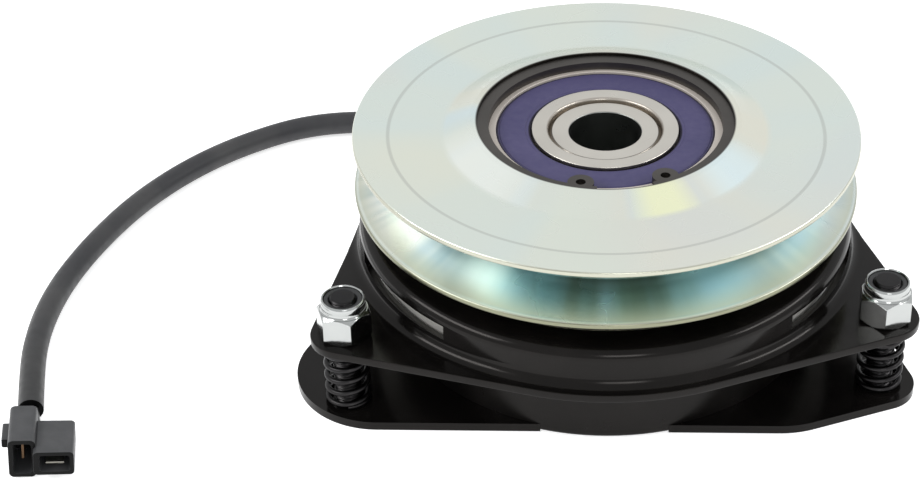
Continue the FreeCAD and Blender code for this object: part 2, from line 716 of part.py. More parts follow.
def make_pulley():
    body = turned(
        "pulley",
        [
            ("boss_bore", "boss_low"),
            ("boss_radius", "boss_low"),
            ("boss_radius", "rim_bottom"),
            ("pocket_in", "rim_bottom"),
            ("pocket_in", "pocket_top"),
            ("pocket_out", "pocket_top"),
            ("pocket_out", "rim_bottom"),
            ("pulley_radius", "rim_bottom"),
            ("pulley_radius", "rim_bottom + rim_edge"),
            ("groove_floor", "rim_bottom + rim_edge + groove_rise"),
            ("groove_floor", "rim_top - rim_edge - groove_rise"),
            ("pulley_radius", "rim_top - rim_edge"),
            ("pulley_radius", "rim_top"),
            ("rim_land", "rim_top"),
            ("web_radius", "web_top"),
            ("cone_radius", "web_top"),
            ("lip_radius", "lip_top"),
            ("pulley_bearing_outer + slack", "lip_top"),
            ("pulley_bearing_outer + slack", "pulley_bearing_high + snap_thickness + 0.2"),
            ("ring_groove", "pulley_bearing_high + snap_thickness + 0.2"),
            ("ring_groove", "pulley_bearing_high"),
            ("pulley_bearing_outer + slack", "pulley_bearing_high"),
            ("pulley_bearing_outer + slack", "pulley_bearing_low"),
            ("boss_bore", "pulley_bearing_low"),
        ],
    )
    rims = [("pulley_radius", "rim_top"), ("pulley_radius", "rim_bottom"), ("lip_radius", "lip_top")]
    soften(body, "rim_rounds", rims, "edge_break")
    soften(body, "cone_foot", [("cone_radius", "web_top")], "cone_foot_radius")
    drill(body, "rivet_holes", [(*NEAR_RIVET, "rivet_radius + slack")], 3, "boss_low", "rivet_depth + 0.5")
    keep(body, "pulley")


# The two rivets of the first leaf spring: one in the pulley, one further round in the armature.
NEAR_RIVET = ("leaf_inner", "0")
FAR_RIVET = ("leaf_across", "leaf_along")


def make_leaf_springs():
    for number, azimuth in enumerate(LEAF_AZIMUTHS, start=1):
        name = f"leaf_spring_{number}"
        ends = [(*NEAR_RIVET, "leaf_end"), (*FAR_RIVET, "leaf_end")]
        body = padded(name, ends, "armature_high + slack", "leaf_thickness")
        drill(body, f"leaf_holes_{number}", [(*NEAR_RIVET, "rivet_hole"), (*FAR_RIVET, "rivet_hole")])
        body.Placement = Placement(Vector(), Rotation(Vector(0, 0, 1), azimuth))
        keep(body, name)


def rivet(name, radius, azimuth, foot, top, head_low, head_high):
    """One rivet: a shank between two heights, with a head."""
    shank = cylinder(name + "_shank", "rivet_radius", foot, top)
    head = cylinder(name + "_head", "rivet_head", head_low, head_high)
    for piece, height in ((shank, foot), (head, head_low)):
        round_the_axis(piece, radius, azimuth, height)
    return fuse(name, [shank, head])


def make_rivets():
    leaf_low = "armature_high + slack"
    leaf_high = "armature_high + slack + leaf_thickness"
    into_pulley = []
    into_armature = []
    for number, azimuth in enumerate(LEAF_AZIMUTHS, start=1):
        name = f"pulley_rivet_{number}"
        foot, top = "armature_high - rivet_head_height", "boss_low + rivet_depth"
        into_pulley.append(rivet(name, "leaf_inner", azimuth, foot, top, foot, leaf_low))
        name = f"armature_rivet_{number}"
        far = azimuth + LEAF_SPAN
        top = f"{leaf_high} + rivet_head_height"
        into_armature.append(rivet(name, "leaf_outer", far, "armature_low", top, leaf_high, top))
    for label, made in (("pulley_rivets", into_pulley), ("armature_rivets", into_armature)):
        group = doc.addObject("Part::Compound", label)
        group.Links = made
        keep(group, label)


def make_armature():
    profile = rectangle("armature_inside", "armature_radius", "armature_low", "armature_high")
    body = turned("armature_plate", profile)
    drill(body, "armature_rivet_holes", [(*FAR_RIVET, "rivet_radius + slack")], 3)
    drill(body, "head_clearances", [(*NEAR_RIVET, "rivet_clearance")], 3)
    keep(body, "armature_plate")


# ---- Brake flange and its locknuts ------------------------------------------------------------------


def flange_outline(margin):
    """Three ears joined by the round front and by the closer sides, all with a margin added."""
    rounds = []
    sides = ("flange_front_radius", "flange_side_radius", "flange_side_radius")
    for stud, radius in zip((LEFT_STUD, RIGHT_STUD, REAR_STUD), sides):
        rounds.append((*stud, f"flange_ear_radius + {margin}"))
        rounds.append(("0", "0", f"{radius} + {margin}"))
    return rounds


def make_brake_flange():
    """A pressed sheet: a flat plate with three ears, and a shallow drum that stands up from it."""
    body = new_body("brake_flange")
    sketch = new_sketch(body, "flange_blank", "XY_Plane")
    bind(sketch, {"AttachmentOffset.Base.z": "flange_low"})
    draw_hull(sketch, flange_outline("flange_margin"))
    pad = body.newObject("PartDesign::Pad", "flange_pad")
    pad.Profile = sketch
    bind(pad, {"Length": "flange_thickness"})
    doc.recompute()
    drum = new_sketch(body, "drum_profile", "XZ_Plane")
    draw_polygon(drum, rectangle("0", "drum_radius", "flange_low", "drum_top"))
    turn = body.newObject("PartDesign::Revolution", "drum_turn")
    turn.Profile = drum
    turn.ReferenceAxis = (drum, ["V_Axis"])
    turn.Angle = 360
    doc.recompute()
    soften(body, "drum_outer_round", [("drum_radius", "drum_top")], "drum_shoulder")
    soften(body, "drum_foot_round", [("drum_radius", "flange_low + flange_thickness")], "drum_foot")
    hollow = new_sketch(body, "hollow_profile", "XZ_Plane")
    inside = "drum_radius - flange_thickness"
    under = "drum_top - flange_thickness"
    corners = [
        ("0", "flange_low - 1"),
        (inside, "flange_low - 1"),
        (inside, f"{under} - drum_inner_round"),
        (f"{inside} - drum_inner_round", under),
        ("drum_hole", under),
        ("drum_hole", "drum_top + 1"),
        ("0", "drum_top + 1"),
    ]
    draw_polygon(hollow, corners)
    groove = body.newObject("PartDesign::Groove", "drum_hollow")
    groove.Profile = hollow
    groove.ReferenceAxis = (hollow, ["V_Axis"])
    groove.Angle = 360
    doc.recompute()
    window = rectangle("drum_radius - 8", "drum_radius + 5", "window_low", "window_high")
    sweep_cut(body, "gauge_windows", window, STUD_AZIMUTHS[1], 36.0, 3)
    drill(body, "ear_holes", [(*REAR_STUD, "stud_hole")], 3)
    waste = new_sketch(body, "flange_waste", "XY_Plane")
    outline = flange_outline("0")
    draw_hull(waste, outline)
    draw_circle(waste, 2 * len(outline), "0", "0", "stud_circle + 40")
    trim = body.newObject("PartDesign::Pocket", "flange_trim")
    trim.Profile = waste
    trim.Type = "ThroughAll"
    trim.Midplane = True
    doc.recompute()
    keep(body, "brake_flange")
    lining = rectangle("lining_in", "lining_out", "lining_low", "drum_top - flange_thickness - slack")
    keep(turned("brake_lining", lining), "brake_lining")


def make_nuts():
    """Locknuts: a chamfered hexagon, a round collar over it, and the nylon insert that the collar holds."""
    hexagon = doc.addObject("Part::Prism", "nut_hexagon")
    hexagon.Polygon = 6
    bind(hexagon, {"Circumradius": "nut_flats", "Height": "nut_hex_height"})
    flat = "nut_flats - nut_chamfer - 0.1"
    envelope = turned(
        "nut_envelope",
        [
            ("0", "0"),
            (flat, "0"),
            ("nut_flats + 0.1", "nut_chamfer"),
            ("nut_flats + 0.1", "nut_hex_height - nut_chamfer"),
            (flat, "nut_hex_height"),
            ("0", "nut_hex_height"),
        ],
    )
    collar = turned(
        "nut_collar_blank",
        [
            ("0", "nut_hex_height - 2"),
            ("nut_collar", "nut_hex_height - 2"),
            ("nut_collar", "nut_height - 1"),
            ("nut_collar - 0.6", "nut_height"),
            ("0", "nut_height"),
        ],
    )
    solid = fuse("nut_solid", [common("nut_chamfered", hexagon, envelope), collar])
    hollow = turned(
        "nut_hollow",
        [
            ("0", "0 - 1"),
            ("nut_bore", "0 - 1"),
            ("nut_bore", "nut_height - 0.5 - insert_height"),
            ("nut_mouth", "nut_height - 0.5 - insert_height"),
            ("nut_mouth", "nut_height + 1"),
            ("0", "nut_height + 1"),
        ],
    )
    low = "nut_height - 0.48 - insert_height"
    ring = rectangle("nut_bore", "nut_mouth - slack", low, f"{low} + insert_height")
    for number, (azimuth, turn) in enumerate(zip(STUD_AZIMUTHS, NUT_TURNS), start=1):
        nut = cut(f"brake_nut_{number}", solid, hollow)
        insert = turned(f"nut_insert_{number}", ring)
        for piece in (nut, insert):
            piece.Placement.Rotation = Rotation(Vector(0, 0, 1), turn)
            round_the_axis(piece, "stud_circle", azimuth, "flange_low + flange_thickness + slack")
        keep(nut, f"brake_nut_{number}")
        keep(insert, f"nut_insert_{number}")


# ---- The lead and its connector ---------------------------------------------------------------------

# The lead's route, chosen by hand: straight out of the grommet, down to the floor, round to the left.
LEAD_ROUTE = [
    (-31.5, 78.0, 12.5),
    (-37.5, 92.8, 12.4),
    (-48.0, 109.0, 9.2),
    (-65.0, 121.6, 5.3),
    (-88.0, 126.8, 4.6),
    (-113.5, 125.0, 4.5),
    (-138.0, 112.3, 4.5),
    (-158.3, 95.6, 4.5),
    (-175.8, 74.3, 4.5),
    (-189.1, 50.5, 4.5),
    (-199.5, 24.8, 4.5),
    (-205.0, 2.2, 4.5),
    (-206.8, -19.5, 4.5),
    (-205.4, -39.5, 4.5),
    (-203.4, -57.0, 4.5),
]
LEFT_WIRE = [(-204.9, -55.5, 4.5), (-204.8, -61.8, 5.2), (-204.6, -69.5, 7.4)]
RIGHT_WIRE = [(-202.2, -55.5, 4.5), (-200.8, -64.0, 5.2), (-197.0, -74.8, 7.6)]
# The connector lies turned about the foot of its left socket, and leans over on it to the right.
CONNECTOR_FOOT = (-199.5, -68.7, 0.0)
CONNECTOR_TURN = 5.0
CONNECTOR_LEAN = 5.0


def rounded_path(route, fullness=0.45):
    """Straight runs joined by tangent arcs, each arc as large as its two runs allow."""
    points = [Vector(*each) for each in route]
    edges = []
    radii = []
    start = points[0]
    for before, corner, after in zip(points, points[1:], points[2:]):
        back = (before - corner).normalize()
        ahead = (after - corner).normalize()
        shorter = min((before - corner).Length, (after - corner).Length)
        reach = fullness * shorter
        turn = math.pi - back.getAngle(ahead)
        radius = reach / math.tan(turn / 2)
        radii.append(radius)
        first = corner + back * reach
        last = corner + ahead * reach
        inward = (back + ahead).normalize()
        centre_distance = radius / math.cos(turn / 2)
        middle = corner + inward * (centre_distance - radius)
        edges.append(Part.LineSegment(start, first).toShape())
        edges.append(Part.Arc(first, middle, last).toShape())
        start = last
    edges.append(Part.LineSegment(start, points[-1]).toShape())
    return Part.Wire(edges), radii


def make_tube(label, route, radius):
    """A round tube along a route, as a finished sub-part."""
    path, radii = rounded_path(route)
    begin = Vector(*route[0])
    heading = Vector(*route[1]) - begin
    section = Part.Wire(Part.makeCircle(radius, begin, heading))
    shape = path.makePipeShell([section], True, False)
    expected = math.pi * radius**2 * path.Length
    share = shape.Volume / expected
    print(f"{label}: length {path.Length:.1f}, volume {share:.4f} of section times length")
    print("  radii " + " ".join(f"{each:.0f}" for each in radii))
    made = doc.addObject("Part::Feature", label)
    made.Shape = shape
    keep(made, label)


def make_grommet():
    """A rubber grommet in the shell's wall, with a flange on the outside."""
    neck = lead_cylinder("grommet_neck", "grommet_radius", "shell_inside - 0.5", "shell_radius + 0.2")
    near, far = "shell_radius + 0.2", "shell_radius + 3.2"
    flange = lead_cylinder("grommet_flange_disc", "grommet_flange", near, far)
    nose = lead_cylinder("grommet_nose", "lead_radius + 1.6", "shell_radius + 3.2", "shell_radius + 7.6")
    keep(fuse("lead_grommet", [neck, flange, nose]), "lead_grommet")


def make_connector():
    """A two-way plug: an upright socket on the left and a level one on the right, each with a blade."""
    left_low, left_high = (-208.7, -87.7, 0.0), (-199.5, -68.7, 15.8)
    right_low, right_high = (-199.7, -90.9, 3.4), (-186.7, -73.7, 13.2)
    blocks = []
    for name, low, high in (("left", left_low, left_high), ("right", right_low, right_high)):
        block = fixed_box(f"connector_{name}", low, high)
        rounded = doc.addObject("Part::Fillet", f"connector_{name}_rounded")
        rounded.Base = block
        doc.recompute()
        rounded.Edges = [(number, 1.6, 1.6) for number in lengthwise_edges(block.Shape)]
        blocks.append(rounded)
    tab = fixed_box("connector_tab", (-211.5, -79.5, 6.2), (-208.5, -70.6, 9.8))
    body = fuse("connector_body", blocks + [tab])
    cavities = [
        fixed_box("left_cavity", (-207.2, -88.2, 1.6), (-200.9, -74.2, 14.2)),
        fixed_box("right_cavity", (-198.3, -91.4, 4.9), (-188.1, -78.2, 11.7)),
    ]
    keep(cut("connector_housing", body, fuse("connector_cavities", cavities)), "connector_housing")
    left = fixed_box("left_blade", (-204.5, -83.7, 4.8), (-203.6, -74.2, 11.0))
    keep(left, "connector_terminal_left")
    right = fixed_box("right_blade", (-196.3, -89.1, 6.9), (-190.1, -78.2, 7.7))
    keep(right, "connector_terminal_right")


def fixed_box(name, low, high):
    """A box between two corners given as numbers, then turned with the connector that it is part of."""
    made = doc.addObject("Part::Box", name)
    made.Length, made.Width, made.Height = [top - bottom for bottom, top in zip(low, high)]
    turn = Rotation(Vector(0, 0, 1), CONNECTOR_TURN).multiply(Rotation(Vector(0, 1, 0), CONNECTOR_LEAN))
    turned_about_foot = Placement(Vector(), turn, Vector(*CONNECTOR_FOOT))
    made.Placement = turned_about_foot.multiply(Placement(Vector(*low), Rotation()))
    return made


def lengthwise_edges(shape):
    """The numbers of the edges that run along Y."""
    found = []
    for number, edge in enumerate(shape.Edges, start=1):
        way = edge.tangentAt(edge.FirstParameter)
        if abs(way.y) > 0.99:
            found.append(number)
    return found


# ---- The whole clutch -------------------------------------------------------------------------------


def check_and_write():
    """Stops on any failed object or unsound shape, then writes each sub-part's file."""
    doc.recompute()
    for obj in doc.Objects:
        if "Invalid" in obj.State or "Error" in obj.State:
            raise ValueError(f"{obj.Name} failed: {obj.State}")
    os.makedirs("parts", exist_ok=True)
    for obj in subparts:
        if obj.Shape.isNull() or not obj.Shape.isValid():
            raise ValueError(f"{obj.Label} has an unsound shape")
    for obj in subparts:
        obj.Shape.exportStep(f"parts/{obj.Label}.step")
    print(f"{len(subparts)} sub-parts written")


make_sheet()
make_field_plate()
make_field_shell()
make_coil()
make_studs()
make_springs()
make_bearing(
    "field_bearing", "journal_radius", "field_bearing_outer", "field_bearing_low", "field_bearing_high",
    "field_pitch", "field_ball", ("field_shoulder_in", "field_shoulder_out"), 12,
)
make_bearing(
    "pulley_bearing", "journal_radius", "pulley_bearing_outer", "pulley_bearing_low", "pulley_bearing_high",
    "pulley_pitch", "pulley_ball", ("pulley_shoulder_in", "pulley_shoulder_out"), 8,
)
split_ring(
    "field_retaining_ring", "field_bearing_outer - 3", "field_bearing_outer + 1.3",
    "field_bearing_low - 1.6", "field_bearing_low - 0.1", "4",
)
split_ring(
    "hub_retaining_ring", "journal_radius - 1", "journal_radius + 2.2",
    "field_bearing_low - 1.8", "field_bearing_low - 0.1", "3",
)
make_rotor()
make_pulley()
make_snap_ring()
make_leaf_springs()
make_rivets()
make_armature()
make_brake_flange()
make_nuts()
make_grommet()
make_tube("lead_sleeve", LEAD_ROUTE, SIZE["lead_radius"])
make_tube("lead_wire_left", LEFT_WIRE, SIZE["wire_radius"])
make_tube("lead_wire_right", RIGHT_WIRE, SIZE["wire_radius"])
make_connector()
check_and_write()
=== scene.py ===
import json
import math

import bmesh
import bpy
from mathutils import Matrix, Vector


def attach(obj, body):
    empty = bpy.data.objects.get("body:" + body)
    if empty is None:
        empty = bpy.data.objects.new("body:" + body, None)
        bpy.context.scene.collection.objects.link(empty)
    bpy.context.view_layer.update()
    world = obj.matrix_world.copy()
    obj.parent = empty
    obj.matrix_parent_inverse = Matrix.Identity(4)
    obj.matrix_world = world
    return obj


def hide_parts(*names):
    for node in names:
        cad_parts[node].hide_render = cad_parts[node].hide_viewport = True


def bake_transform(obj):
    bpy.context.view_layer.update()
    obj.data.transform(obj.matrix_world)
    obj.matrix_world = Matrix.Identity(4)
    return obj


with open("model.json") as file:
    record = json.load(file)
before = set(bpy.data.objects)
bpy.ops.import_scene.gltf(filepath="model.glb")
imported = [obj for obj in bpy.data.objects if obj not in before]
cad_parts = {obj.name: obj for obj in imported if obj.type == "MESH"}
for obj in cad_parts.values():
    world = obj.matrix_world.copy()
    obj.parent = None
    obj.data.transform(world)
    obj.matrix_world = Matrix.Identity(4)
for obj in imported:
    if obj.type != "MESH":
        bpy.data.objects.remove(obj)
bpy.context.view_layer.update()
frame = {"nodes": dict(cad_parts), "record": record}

# Lengths are in millimetres, except in materials and lamps, where they are in metres.
MM = 0.001
TURN = 2 * math.pi
STUDS = [(-92.665, -53.5), (92.665, -53.5), (0.0, 107.0)]
STUD_AZIMUTHS = (-150.0, -30.0, 90.0)
STUD_TOP = 46.8
THREAD_PITCH = 1.5875

# The pulley and its bearing.
RIM, RIM_LOW, RIM_TOP = 88.9, 55.4, 78.5
GROOVE_FLOOR = 71.0
POCKET_INSIDE, POCKET_OUTSIDE, POCKET_TOP = 61.5, 67.5, 71.5
WEB_TOP, LIP_TOP = 77.0, 81.5
BEARING_RADIUS, BEARING_LOW, BEARING_TOP = 45.0, 54.5, 77.5
BEARING_SEAT = BEARING_RADIUS + 0.02
SNAP_GROOVE = 46.7
SLEEVE_BORE, SLEEVE_OUTSIDE, SLEEVE_TOP = 12.7, 19.98, 76.2

# The field shell and plate, and the brake flange with its lining.
SHELL_RADIUS, SHELL_TOP, SHELL_FLOOR = 76.5, 30.6, 5.0
PLATE_THICKNESS = 3.2
DRUM_INSIDE, DRUM_OUTSIDE, DRUM_OPENING = 85.0, 88.0, 76.0
FLANGE_LOW, FLANGE_UNDERSIDE, FLANGE_TOP = 28.5, 42.8, 45.8
FLANGE_CORNER = 12.0

# The adjusting nuts, and the gauge windows by the studs.
NUT_TURNS = (45.0, 21.0, 5.0)
NUT_FOOT = 31.52
INSERT_FOOT = NUT_FOOT + 11.72
WINDOW_HALF_ANGLE = 18.0

# The leaf springs' middle, and the lead.
LEAF_HEIGHT = 42.0
LEAD_RADIUS = 4.5
LEAD_EXIT_HEIGHT = 12.5

# How far apart the wave texture's bands are at a scale of 1.
WAVE_LENGTH = 314.0

scene = bpy.context.scene
nodes = frame["nodes"]


# ---- Materials ---------------------------------------------------------------------------------------


class Surface:
    """A node-based material that is put together step by step, in the object's own coordinates."""

    def __init__(self, name, colour, metallic=0.0, roughness=0.5, **sockets):
        self.material = bpy.data.materials.new(name)
        self.material.use_nodes = True
        self.tree = self.material.node_tree
        self.shader = self.tree.nodes["Principled BSDF"]
        self.coordinates = self.node("TexCoord").outputs["Object"]
        self.set(self.shader, {"Base Color": (*colour, 1.0), "Metallic": metallic,
                               "Roughness": roughness})
        self.set(self.shader, sockets)
        self.colour = None
        self.plain_colour = (*colour, 1.0)
        self.normal = None

    def node(self, kind, **inputs):
        made = self.tree.nodes.new("ShaderNode" + kind)
        self.set(made, inputs)
        return made

    def set(self, node, inputs):
        for key, value in inputs.items():
            socket = node.inputs[key.replace("_", " ") if key.replace("_", " ") in node.inputs else key]
            if isinstance(value, bpy.types.NodeSocket):
                self.tree.links.new(value, socket)
            else:
                socket.default_value = value

    def noise(self, scale, detail=3.0, stretch=None, source=None):
        """Noise from 0 to 1. The scale is in features per metre; stretch squeezes it along the axes."""
        vector = source or self.coordinates
        if stretch:
            mapping = self.node("Mapping", Vector=vector)
            mapping.inputs["Scale"].default_value = stretch
            vector = mapping.outputs["Vector"]
        made = self.node("TexNoise", Vector=vector, Scale=scale, Detail=detail)
        return made.outputs["Fac"]

    def rings(self, per_mm, wobble=0.0):
        """Fine turned rings round the Z axis."""
        made = self.node("TexWave", Vector=self.coordinates, Scale=per_mm * WAVE_LENGTH,
                         Distortion=wobble, Detail=2.0)
        made.wave_type = "RINGS"
        made.rings_direction = "Z"
        return made.outputs["Fac"]

    def spread(self, value, low, high, to_low=0.0, to_high=1.0):
        """Maps low..high to to_low..to_high, and holds the ends beyond."""
        made = self.node("MapRange", Value=value)
        made.inputs["From Min"].default_value = low
        made.inputs["From Max"].default_value = high
        made.inputs["To Min"].default_value = to_low
        made.inputs["To Max"].default_value = to_high
        made.clamp = True
        return made.outputs["Result"]

    def maths(self, operation, first, second):
        """One step of arithmetic on sockets or numbers."""
        made = self.node("Math")
        made.operation = operation
        for socket, value in zip(made.inputs, (first, second)):
            if isinstance(value, bpy.types.NodeSocket):
                self.tree.links.new(value, socket)
            else:
                socket.default_value = value
        return made.outputs["Value"]

    def both(self, first, second):
        """A mask that holds where two masks meet."""
        return self.maths("MULTIPLY", first, second)

    def tint(self, mask, colour, within=None):
        """Mixes a colour over what is there, where the mask is 1."""
        if within is not None:
            mask = self.both(within, mask)
        made = self.node("Mix")
        made.data_type = "RGBA"
        # The mix node's sockets share their names between kinds, so the colour ones go by number.
        under, over, out = made.inputs[6], made.inputs[7], made.outputs[2]
        self.tree.links.new(mask, made.inputs[0])
        if self.colour is None:
            under.default_value = self.plain_colour
        else:
            self.tree.links.new(self.colour, under)
        over.default_value = (*colour, 1.0)
        self.colour = out
        self.tree.links.new(out, self.shader.inputs["Base Color"])
        return self

    def rough(self, value, low, high):
        """Roughness that runs from low to high as the value runs from 0.3 to 0.7."""
        self.tree.links.new(self.spread(value, 0.3, 0.7, low, high), self.shader.inputs["Roughness"])
        return self

    def bump(self, height, distance_mm, strength=1.0):
        """Adds a relief to the ones that are there."""
        made = self.node("Bump", Height=height, Distance=distance_mm * MM, Strength=strength)
        if self.normal is not None:
            self.tree.links.new(self.normal, made.inputs["Normal"])
        self.normal = made.outputs["Normal"]
        self.tree.links.new(self.normal, self.shader.inputs["Normal"])
        return self

    def position(self):
        """The object's own x, y and z, in metres."""
        return self.node("SeparateXYZ", Vector=self.coordinates).outputs

    def azimuth_vector(self):
        """A unit vector that depends only on the direction from the Z axis."""
        x, y, _ = self.position()
        flat = self.node("CombineXYZ", X=x, Y=y)
        made = self.node("VectorMath")
        made.operation = "NORMALIZE"
        self.tree.links.new(flat.outputs["Vector"], made.inputs[0])
        return made.outputs["Vector"]

    def radius(self):
        """The distance from the Z axis, in metres."""
        x, y, _ = self.position()
        squares = self.maths("ADD", self.maths("MULTIPLY", x, x), self.maths("MULTIPLY", y, y))
        return self.maths("POWER", squares, 0.5)

    def toward(self, around, degrees, half_width, most=1.0):
        """A mask that peaks in one direction and ends half_width degrees to either side."""
        made = self.node("VectorMath")
        made.operation = "DOT_PRODUCT"
        self.tree.links.new(around, made.inputs[0])
        turn = math.radians(degrees)
        made.inputs[1].default_value = (math.cos(turn), math.sin(turn), 0.0)
        edge = math.cos(math.radians(half_width))
        middle = math.cos(math.radians(half_width / 3))
        return self.spread(made.outputs["Value"], edge, middle, 0.0, most)

    def between(self, value, low, high, soft):
        """A mask that is 1 between two values."""
        return self.both(self.spread(value, low - soft, low), self.spread(value, high + soft, high))

    def facing(self):
        """The x, y and z of the surface's direction, in the object's own axes."""
        return self.node("SeparateXYZ", Vector=self.node("TexCoord").outputs["Normal"]).outputs


def black_paint(name, gloss):
    """Black paint, faintly warm and a little uneven."""
    made = Surface(name, (0.0036, 0.0032, 0.0030), roughness=gloss, Specular_IOR_Level=0.17)
    made.set(made.shader, {"Specular Tint": (1.0, 0.95, 0.91, 1.0)})
    made.tint(made.spread(made.noise(60.0, 5.0), 0.45, 0.75), (0.0065, 0.0056, 0.0052))
    made.rough(made.noise(150.0, 4.0), gloss - 0.03, gloss + 0.05)
    made.bump(made.noise(700.0, 2.0), 0.006, 0.4)
    return made.material


def bare_metal(name, colour, shade, roughness, rings=0.0, grain=0.004, metallic=1.0):
    return bare_surface(name, colour, shade, roughness, rings, grain, metallic).material


def bare_surface(name, colour, shade, roughness, rings, grain, metallic):
    """Metal with drifting colour, fine grain and, where rings are asked for, turning marks."""
    made = Surface(name, colour, metallic=metallic, roughness=roughness)
    made.tint(made.spread(made.noise(40.0, 3.0), 0.35, 0.9), shade)
    made.rough(made.noise(90.0, 3.0), roughness - 0.03, roughness + 0.04)
    if rings:
        made.bump(made.rings(rings, 0.6), 0.003, 0.5)
    made.bump(made.noise(2200.0, 3.0), grain, 0.4)
    return made


def moulded(name, colour, lighter, roughness, grain_mm=0.03, scale=1800.0):
    return moulded_surface(name, colour, lighter, roughness, grain_mm, scale).material


def moulded_surface(name, colour, lighter, roughness, grain_mm, scale):
    """Moulded plastic, rubber or resin with a fine grain."""
    made = Surface(name, colour, roughness=roughness)
    made.tint(made.spread(made.noise(120.0, 4.0), 0.4, 0.75), lighter)
    made.rough(made.noise(400.0, 3.0), roughness - 0.07, roughness + 0.08)
    made.bump(made.noise(scale, 3.0), grain_mm, 0.4)
    return made


def plug_nylon():
    """Dark grey nylon, with painted shade, nearly black and with little gloss, on the ends that face
    forward.
    """
    made = moulded_surface("plug_nylon", (0.042, 0.043, 0.045), (0.060, 0.060, 0.063), 0.46,
                           0.05, 1400.0)
    forward = made.facing()[1]
    # Painted shade on the faces that turn forward, with their gloss taken down too.
    made.tint(made.spread(forward, -0.75, -0.9), (0.006, 0.006, 0.006))
    made.set(made.shader, {"Specular IOR Level": made.spread(forward, -0.75, -0.9, 0.5, 0.08)})
    return made.material


def pulley_metal():
    """Bright turned metal with a pale tint, and painted reflections, highlights and shade that change
    round the pulley.

    Masks are taken from the radius and the height in metres, and from the direction in degrees.
    Each tint lies over the ones before it.
    """
    made = Surface("pulley_metal_painted_light", (0.79, 0.83, 0.74), metallic=1.0, roughness=0.27)
    around = made.azimuth_vector()

    def painted_reflection_drift(scale, low, high, most=1.0, detail=1.0):
        return made.spread(made.noise(scale, detail, source=around), low, high, 0.0, most)

    # Painted reflection: a tint that drifts with the direction round the whole pulley.
    made.tint(painted_reflection_drift(1.3, 0.42, 0.62, detail=2.0), (0.74, 0.82, 0.78))
    made.tint(made.spread(made.noise(14.0, 2.0), 0.48, 0.95), (0.86, 0.84, 0.69))
    made.tint(made.spread(made.noise(9.0, 2.0, (1, 1, 0.2)), 0.54, 0.95), (0.80, 0.73, 0.70))
    z = made.position()[2]
    radius = made.radius()

    # The cone that rises to the bearing: painted reflections drift round it, its back is darker with
    # painted shade, and painted highlights lie at the front left, the front and the front right.
    cone = made.both(made.spread(radius, 0.0585, 0.0560), made.spread(z, 0.0765, 0.0772))
    made.tint(painted_reflection_drift(1.6, 0.42, 0.66), (0.82, 0.81, 0.70), cone)
    made.tint(painted_reflection_drift(2.2, 0.52, 0.72), (0.70, 0.82, 0.85), cone)
    along = made.node("SeparateXYZ", Vector=around).outputs[1]
    # Painted shade: the back of the cone is darker.
    made.tint(made.spread(along, 0.25, 0.95, 0.0, 0.30), (0.46, 0.44, 0.38), cone)
    # Painted highlights on the cone, at the front left, the front and the front right.
    for degrees, half_width, most, colour in (
            (-150.0, 30.0, 0.7, (0.94, 0.97, 0.92)),
            (-72.0, 13.0, 0.85, (0.98, 1.0, 0.66)),
            (-38.0, 18.0, 0.7, (0.80, 0.95, 0.99))):
        made.tint(made.toward(around, degrees, half_width, most), colour, cone)

    # A dark line of painted shade in the top face, where it begins to rise.
    step = made.both(made.between(radius, 0.0760, 0.0768, 0.0004),
                     made.spread(z, 0.0765, 0.0768, 0.0, 0.4))
    made.tint(step, (0.42, 0.43, 0.40))

    # The belt groove: painted reflections and highlights that change round it, painted shade at the
    # front and deep in it, and a creamer, darker tone towards the rims.
    inside = made.both(made.spread(radius, 0.0882, 0.0872), made.spread(z, 0.0764, 0.0758))
    groove = made.both(inside, made.spread(z, 0.0571, 0.0574))
    made.tint(groove, (0.70, 0.78, 0.73))
    # Painted highlight on the left of the groove.
    made.tint(made.toward(around, 185.0, 50.0, 0.95), (0.98, 1.0, 0.95), groove)
    # Painted shade at the front of the groove.
    made.tint(made.spread(along, -0.80, -0.99), (0.30, 0.38, 0.33), groove)
    # Painted teal and blue reflections that drift round the groove.
    made.tint(painted_reflection_drift(7.0, 0.45, 0.62, 0.7, 2.0), (0.40, 0.55, 0.57), groove)
    made.tint(painted_reflection_drift(3.0, 0.50, 0.66, 0.7), (0.56, 0.68, 0.76), groove)
    # Painted shade deep in the groove, strongest at the front.
    deep = made.both(groove, made.spread(radius, 0.078, 0.072, 0.0, 0.75))
    made.tint(made.spread(along, -0.45, -0.85, 0.15, 1.0), (0.17, 0.22, 0.20), deep)
    # Painted reflections and a painted highlight in three directions.
    for degrees, half_width, most, colour in (
            (-115.0, 12.0, 0.5, (0.38, 0.56, 0.58)),
            (-127.0, 9.0, 0.55, (0.90, 1.0, 0.98)),
            (-66.0, 15.0, 0.55, (0.50, 0.68, 0.68))):
        made.tint(made.toward(around, degrees, half_width, most), colour, groove)
    made.tint(made.spread(radius, 0.080, 0.087, 0.0, 0.8), (0.60, 0.62, 0.50), groove)

    # Painted shade on the lower rim and beneath it, on the face of the top rim, and inside the lip
    # round the bearing.
    made.tint(made.spread(z, 0.0578, 0.0574), (0.24, 0.245, 0.17))
    top_rim = made.both(made.spread(radius, 0.0878, 0.0884),
                        made.between(z, 0.0763, 0.0781, 0.0003))
    made.tint(top_rim, (0.46, 0.46, 0.38))
    lip_inside = made.both(made.spread(radius, 0.0458, 0.0452), made.spread(z, 0.0770, 0.0774))
    made.tint(lip_inside, (0.045, 0.040, 0.036))
    made.rough(made.noise(30.0, 3.0), 0.25, 0.31)
    made.bump(made.rings(1.1, 0.4), 0.003, 0.5)
    made.bump(made.noise(500.0, 3.0), 0.004, 0.3)
    return made.material


